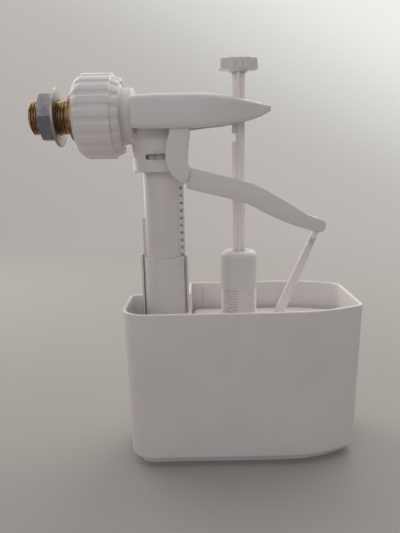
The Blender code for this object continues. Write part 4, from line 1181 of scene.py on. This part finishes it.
ring_rows = [(CYLINDER_R, 61.0 + 0.18 * k) for k in range(168)]
cylinder_line = [
    (SOCKET_R, 105.9), (8.05, 105.9, 0.4), (8.05, 60.4, 0.2), (CYLINDER_R, 60.4, 0.3), *ring_rows,
    (CYLINDER_R, CYLINDER_TOP, 2.8), (SOCKET_R, CYLINDER_TOP, 0.2),
]
cylinder = turned("ringed_cylinder", cylinder_line, centre=SPINDLE, sides=160, field=ringed)
pip = round_bar("pip", 0.55, -16.35, -15.4, "Y", (41.0, 0, 78.0), edge=0.1, sides=24)
work(cylinder, [pip], "UNION")
cylinder.name = "ringed_cylinder"
wear(cylinder, "spindle", "guide_cylinder")

# %% [markdown]
# ## The float
#
# The float is a box without a bottom: air caught under it lifts it. It
# follows the chamber's plan with 1.5 mm of room. A round well lets the
# cylinder through, and a slot beside it the leaning link. Both together make
# one keyhole outline, whose wall is joined to the box before it is cut open.

# %% Float's outlines
FLOAT_TOP, FLOAT_LOW, FLOAT_WALL = 67.6, 19.4, 1.6
FLOAT = [
    (15.1, -30.6, 4.0),
    (78.0, -30.6, 60.0),
    (96.1, -19.8, 5.0),
    (96.1, 16.4, 5.0),
    (80.0, 23.5, 40.0),
    (15.1, 23.5, 4.0),
]
WELL_R, SLOT_END, SLOT_Y0, SLOT_Y1 = 12.15, 71.2, -17.8, -12.6


def keyhole(more):
    r = WELL_R + more
    low, high = SLOT_Y0 - more - SPINDLE[1], SLOT_Y1 + more - SPINDLE[1]
    a0, a1 = math.asin(max(-1.0, low / r)), math.asin(high / r)
    points = [(SLOT_END + more, SLOT_Y0 - more), (SLOT_END + more, SLOT_Y1 + more)]
    for k in range(61):
        a = a1 + (2 * math.pi + a0 - a1) * k / 60
        points.append((SPINDLE[0] + r * math.cos(a), SPINDLE[1] + r * math.sin(a)))
    return points


print("the keyhole has", len(keyhole(0.0)), "points")

# %% Float
floater = pushed("hollow_float", rounded(FLOAT, facet=4), FLOAT_LOW, FLOAT_TOP, "natural_plastic", "Z", 0.5)
air = pushed("air", rounded(inset(FLOAT, FLOAT_WALL), facet=4), FLOAT_LOW - 1, FLOAT_TOP - 1.8, edge=0.5)
work(floater, [air], "DIFFERENCE")
well = pushed("well", keyhole(FLOAT_WALL), FLOAT_LOW, FLOAT_TOP - 0.9)
work(floater, [well], "UNION")
well_way = pushed("well_way", keyhole(0.0), FLOAT_LOW - 1, FLOAT_TOP + 1)
work(floater, [well_way], "DIFFERENCE")
wear(floater, "float_unit", "float")

# %% [markdown]
# ### The level collar
#
# A ring in the well's mouth grips the cylinder and sets how high the float
# sits on it. Its flange rests on the float's top.

# %% Level collar
ring_line = [
    (13.25, 70.7, 0.6), (13.25, 67.8, 0.2), (11.85, 67.8),
    (11.85, 63.8, 0.4), (9.65, 63.8, 0.4), (9.65, 70.7, 0.3),
]
level_ring = turned("level_ring", ring_line, centre=SPINDLE, sides=128)
wear(level_ring, "float_unit", "level_collar")

# %% [markdown]
# ## The latch
#
# The height latch is a thin tongue that springs into the rack, with three
# thumb ridges near its top. Blocks with softened edges are all it needs.

# %% Height latch
latch = block("latch_tongue", 11.8, 12.6, -6.9, -1.5, 74.8, 106.2, edge=0.25)
thumb_ridges = [block("ridge", 12.2, 13.0, -6.4, -2.0, z, z + 0.8, edge=0.2) for z in (99.0, 101.2, 103.4)]
work(latch, thumb_ridges, "UNION")
wear(latch, "latch", "height_latch")

# %% [markdown]
# ## The drain flap and the pins
#
# The drain flap is a rubber leaf that hangs from a pin on two ears and lets
# the chamber empty. The lever swings on a second pin, of steel.

# %% Drain flap
HINGE = (10.22, 0, 21.0)
leaf = rounded([(10.4, 7.4, 1.6), (23.6, 7.4, 1.6), (23.6, HINGE[2]), (10.4, HINGE[2])])
flap = pushed("rubber_flap", leaf, 10.82, 12.02, "rubber", "X", 0.3)
work(flap, [round_bar("barrel", 2.0, 10.4, 23.6, "Y", HINGE, "rubber", 0.3, 40)], "UNION")
work(flap, [round_bar("flap_way", 1.1, 9.0, 25.0, "Y", HINGE, "rubber", sides=32)], "DIFFERENCE")
wear(flap, "flap", "drain_flap")

# %% Two pins
hinge_pin = round_bar("hinge_pin", 0.8, 8.7, 25.3, "Y", HINGE, edge=0.25, sides=40)
wear(hinge_pin, "chamber", "flap_pin")
pivot_pin = round_bar("pivot_pin", 1.5, -9.4, 6.0, "Y", PIVOT_AT, "zinc_steel", 0.3, 48)
wear(pivot_pin, "valve_head", "lever_pin")

# %% [markdown]
# ## The CAD shapes that stay
#
# The parts inside the inlet and at the spindle's foot are out of sight and
# simple, so they keep their CAD shape. They only get the material of their
# slot.

# %% Materials for the CAD shapes
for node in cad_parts.values():
    for holder in node.material_slots:
        if holder.material and holder.material.name in FINISH:
            holder.material = FINISH[holder.material.name]
print("looked through", len(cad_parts), "CAD shapes")

# %% [markdown]
# ## The stage
#
# The object stands on a plain pale floor that sweeps up into the backdrop, as
# a roll of studio paper does. Its colour carries a painted light gradient,
# darker on the left and light on the upper right; the camera sees a stronger,
# glowing copy of it, other rays the lamp-lit paper. The floor still takes the
# object's shadow.

# %% Paper sweep
SWEEP_HALF = 12000
sweep_line = rounded([(-1500, 0.0), (1200, 0.0, 500), (1200, 1500.0)], closed=False, facet=4)
bm = bmesh.new()
left, right = [[bm.verts.new((x, p.x, p.y)) for p in sweep_line] for x in (-SWEEP_HALF, SWEEP_HALF)]
for i in range(len(sweep_line) - 1):
    bm.faces.new((left[i], right[i], right[i + 1], left[i + 1]))
mesh = bpy.data.meshes.new("paper_sweep")
bm.to_mesh(mesh)
bm.free()
mesh.transform(TO_FRAME)
mesh.shade_smooth()
paper = bpy.data.objects.new("paper_sweep", mesh)
bpy.context.scene.collection.objects.link(paper)
print("paper sweep of", len(mesh.polygons), "faces")

# %% [markdown]
# ### The paper's two looks
#
# Studio paper is matt, so plain roughness is enough; its colour holds a soft
# painted light gradient. A second look glows with its own colour, a stronger
# painted light gradient, so that no lamp has to be turned up for a pale
# backdrop. It is shown to rays that see the paper directly, in a mirror or
# through glass, and only from 12 cm away from the object, where it fades in:
# nearer than that the paper keeps the shadow.

# %% Which rays see the backdrop
def direct_ray(tree):
    ray = add(tree, "ShaderNodeLightPath")
    mirrored = add(
        tree,
        "ShaderNodeMath",
        {"operation": "MAXIMUM"},
        {},
        {0: ray.outputs["Is Camera Ray"], 1: ray.outputs["Is Glossy Ray"]},
    )
    through = {0: mirrored.outputs["Value"], 1: ray.outputs["Is Transmission Ray"]}
    return add(tree, "ShaderNodeMath", {"operation": "MAXIMUM"}, {}, through).outputs["Value"]


print("backdrop for camera, glossy and transmission rays")

# %% Paper's painted light gradients
paper_mat, tree = new_material("studio_paper")
place = add(tree, "ShaderNodeTexCoord").outputs["Object"]
parts = add(tree, "ShaderNodeSeparateXYZ", links={"Vector": place})
high = add(tree, "ShaderNodeMath", {"operation": "MULTIPLY"}, {1: 0.9}, {0: parts.outputs["Z"]})
uphill = {0: parts.outputs["X"], 2: high.outputs["Value"]}
across = add(tree, "ShaderNodeMath", {"operation": "MULTIPLY_ADD"}, {1: 0.5}, uphill)
ruler = add(
    tree,
    "ShaderNodeMapRange",
    values={"From Min": -0.3, "From Max": 1.0},
    links={"Value": across.outputs["Value"]},
).outputs["Result"]
# painted light: the paper's colour darkens to the left and lightens up to the right, as lamp fall-off would
tint = steps(
    add(tree, "ShaderNodeValToRGB", links={"Fac": ruler}),
    [(0.10, colour("#aba7a3")), (0.46, colour("#b5b2ae")), (0.80, colour("#d9d8d3"))],
)
# painted light: a glowing gradient, dim on the left and bright at the upper right, shown in place of lamp light
painted_light_glow = steps(
    add(tree, "ShaderNodeValToRGB", links={"Fac": ruler}),
    [(0.09, colour("#afa8a4")), (0.46, colour("#bebab6")), (0.60, colour("#cccbc6")), (0.78, colour("#f1f2ec"))],
)
painted_light_glow.color_ramp.interpolation = "B_SPLINE"
print("gradients of", len(tint.color_ramp.elements), "and", len(painted_light_glow.color_ramp.elements), "stops")

# %% Paper material
painted_gradient_colour = {"Base Color": tint.outputs["Color"]}
plain = add(tree, "ShaderNodeBsdfPrincipled", values={"Roughness": 0.9}, links=painted_gradient_colour)
shining = add(tree, "ShaderNodeEmission", links={"Color": painted_light_glow.outputs["Color"]})
distance = add(tree, "ShaderNodeVectorMath", {"operation": "LENGTH"}, {}, {0: place})
far = add(
    tree,
    "ShaderNodeMapRange",
    {"interpolation_type": "SMOOTHSTEP"},
    {"From Min": 0.12, "From Max": 0.75},
    {"Value": distance.outputs["Value"]},
)
both = {0: direct_ray(tree), 1: far.outputs["Result"]}
share = add(tree, "ShaderNodeMath", {"operation": "MULTIPLY"}, {}, both)
looks = {"Fac": share.outputs["Value"], 1: plain.outputs["BSDF"], 2: shining.outputs["Emission"]}
mixed = add(tree, "ShaderNodeMixShader", links=looks)
add(tree, "ShaderNodeOutputMaterial", links={"Surface": mixed.outputs["Shader"]})
paper.data.materials.append(paper_mat)
print("made", paper_mat.name)

# %% [markdown]
# ## The light
#
# The photograph was taken against daylight: tops and side edges are bright,
# and the sides that face the camera lie in soft shade with a faint violet
# tone. Two broad lamps behind the object stand for its windows and a third
# hangs above as the sky. A weak one with that violet tone fills from the
# front. They are as large as they are so that no edge burns out to white.

# %% Lamps
MIDDLE = (30, 0, 100)


def lamp(name, place, side, watts, tone):
    # a square lamp that looks at the middle of the valve; place and side are in mm
    light = bpy.data.lights.new(name, "AREA")
    light.shape = "RECTANGLE"
    light.size = light.size_y = side * MM
    light.energy = watts
    light.color = colour(tone)[:3]
    holder = bpy.data.objects.new(name, light)
    sight = spot(*MIDDLE) - spot(*place)
    holder.rotation_euler = sight.to_track_quat("-Z", "Y").to_euler()
    holder.location = spot(*place)
    bpy.context.scene.collection.objects.link(holder)


lamp("right_window", (400, 420, 480), 760, 2.2, "#fffaf3")
lamp("left_window", (-420, 400, 330), 600, 2.0, "#fffaf4")
lamp("sky_panel", (60, 120, 760), 800, 1.7, "#fbfaf8")
lamp("front_fill", (-120, -620, 380), 600, 0.85, "#efe6ee")

# %% [markdown]
# ### The world
#
# The world is the room round the paper. It gives a low, even level from all
# sides, and shows a grey like the paper's own where a ray looks past the
# sweep's edge.

# %% World
world = bpy.data.worlds.new("studio")
world.use_nodes = True
tree = world.node_tree
tree.nodes.clear()
around = add(tree, "ShaderNodeBackground", values={"Color": colour("#efedf0"), "Strength": 0.28})
shown = add(tree, "ShaderNodeBackground", values={"Color": colour("#bdb9b4"), "Strength": 1.0})
room = {"Fac": direct_ray(tree), 1: around.outputs["Background"], 2: shown.outputs["Background"]}
mixed = add(tree, "ShaderNodeMixShader", links=room)
add(tree, "ShaderNodeOutputWorld", links={"Surface": mixed.outputs["Shader"]})
bpy.context.scene.world = world
bpy.context.scene.view_settings.view_transform = "Standard"
print("view transform:", bpy.context.scene.view_settings.view_transform)
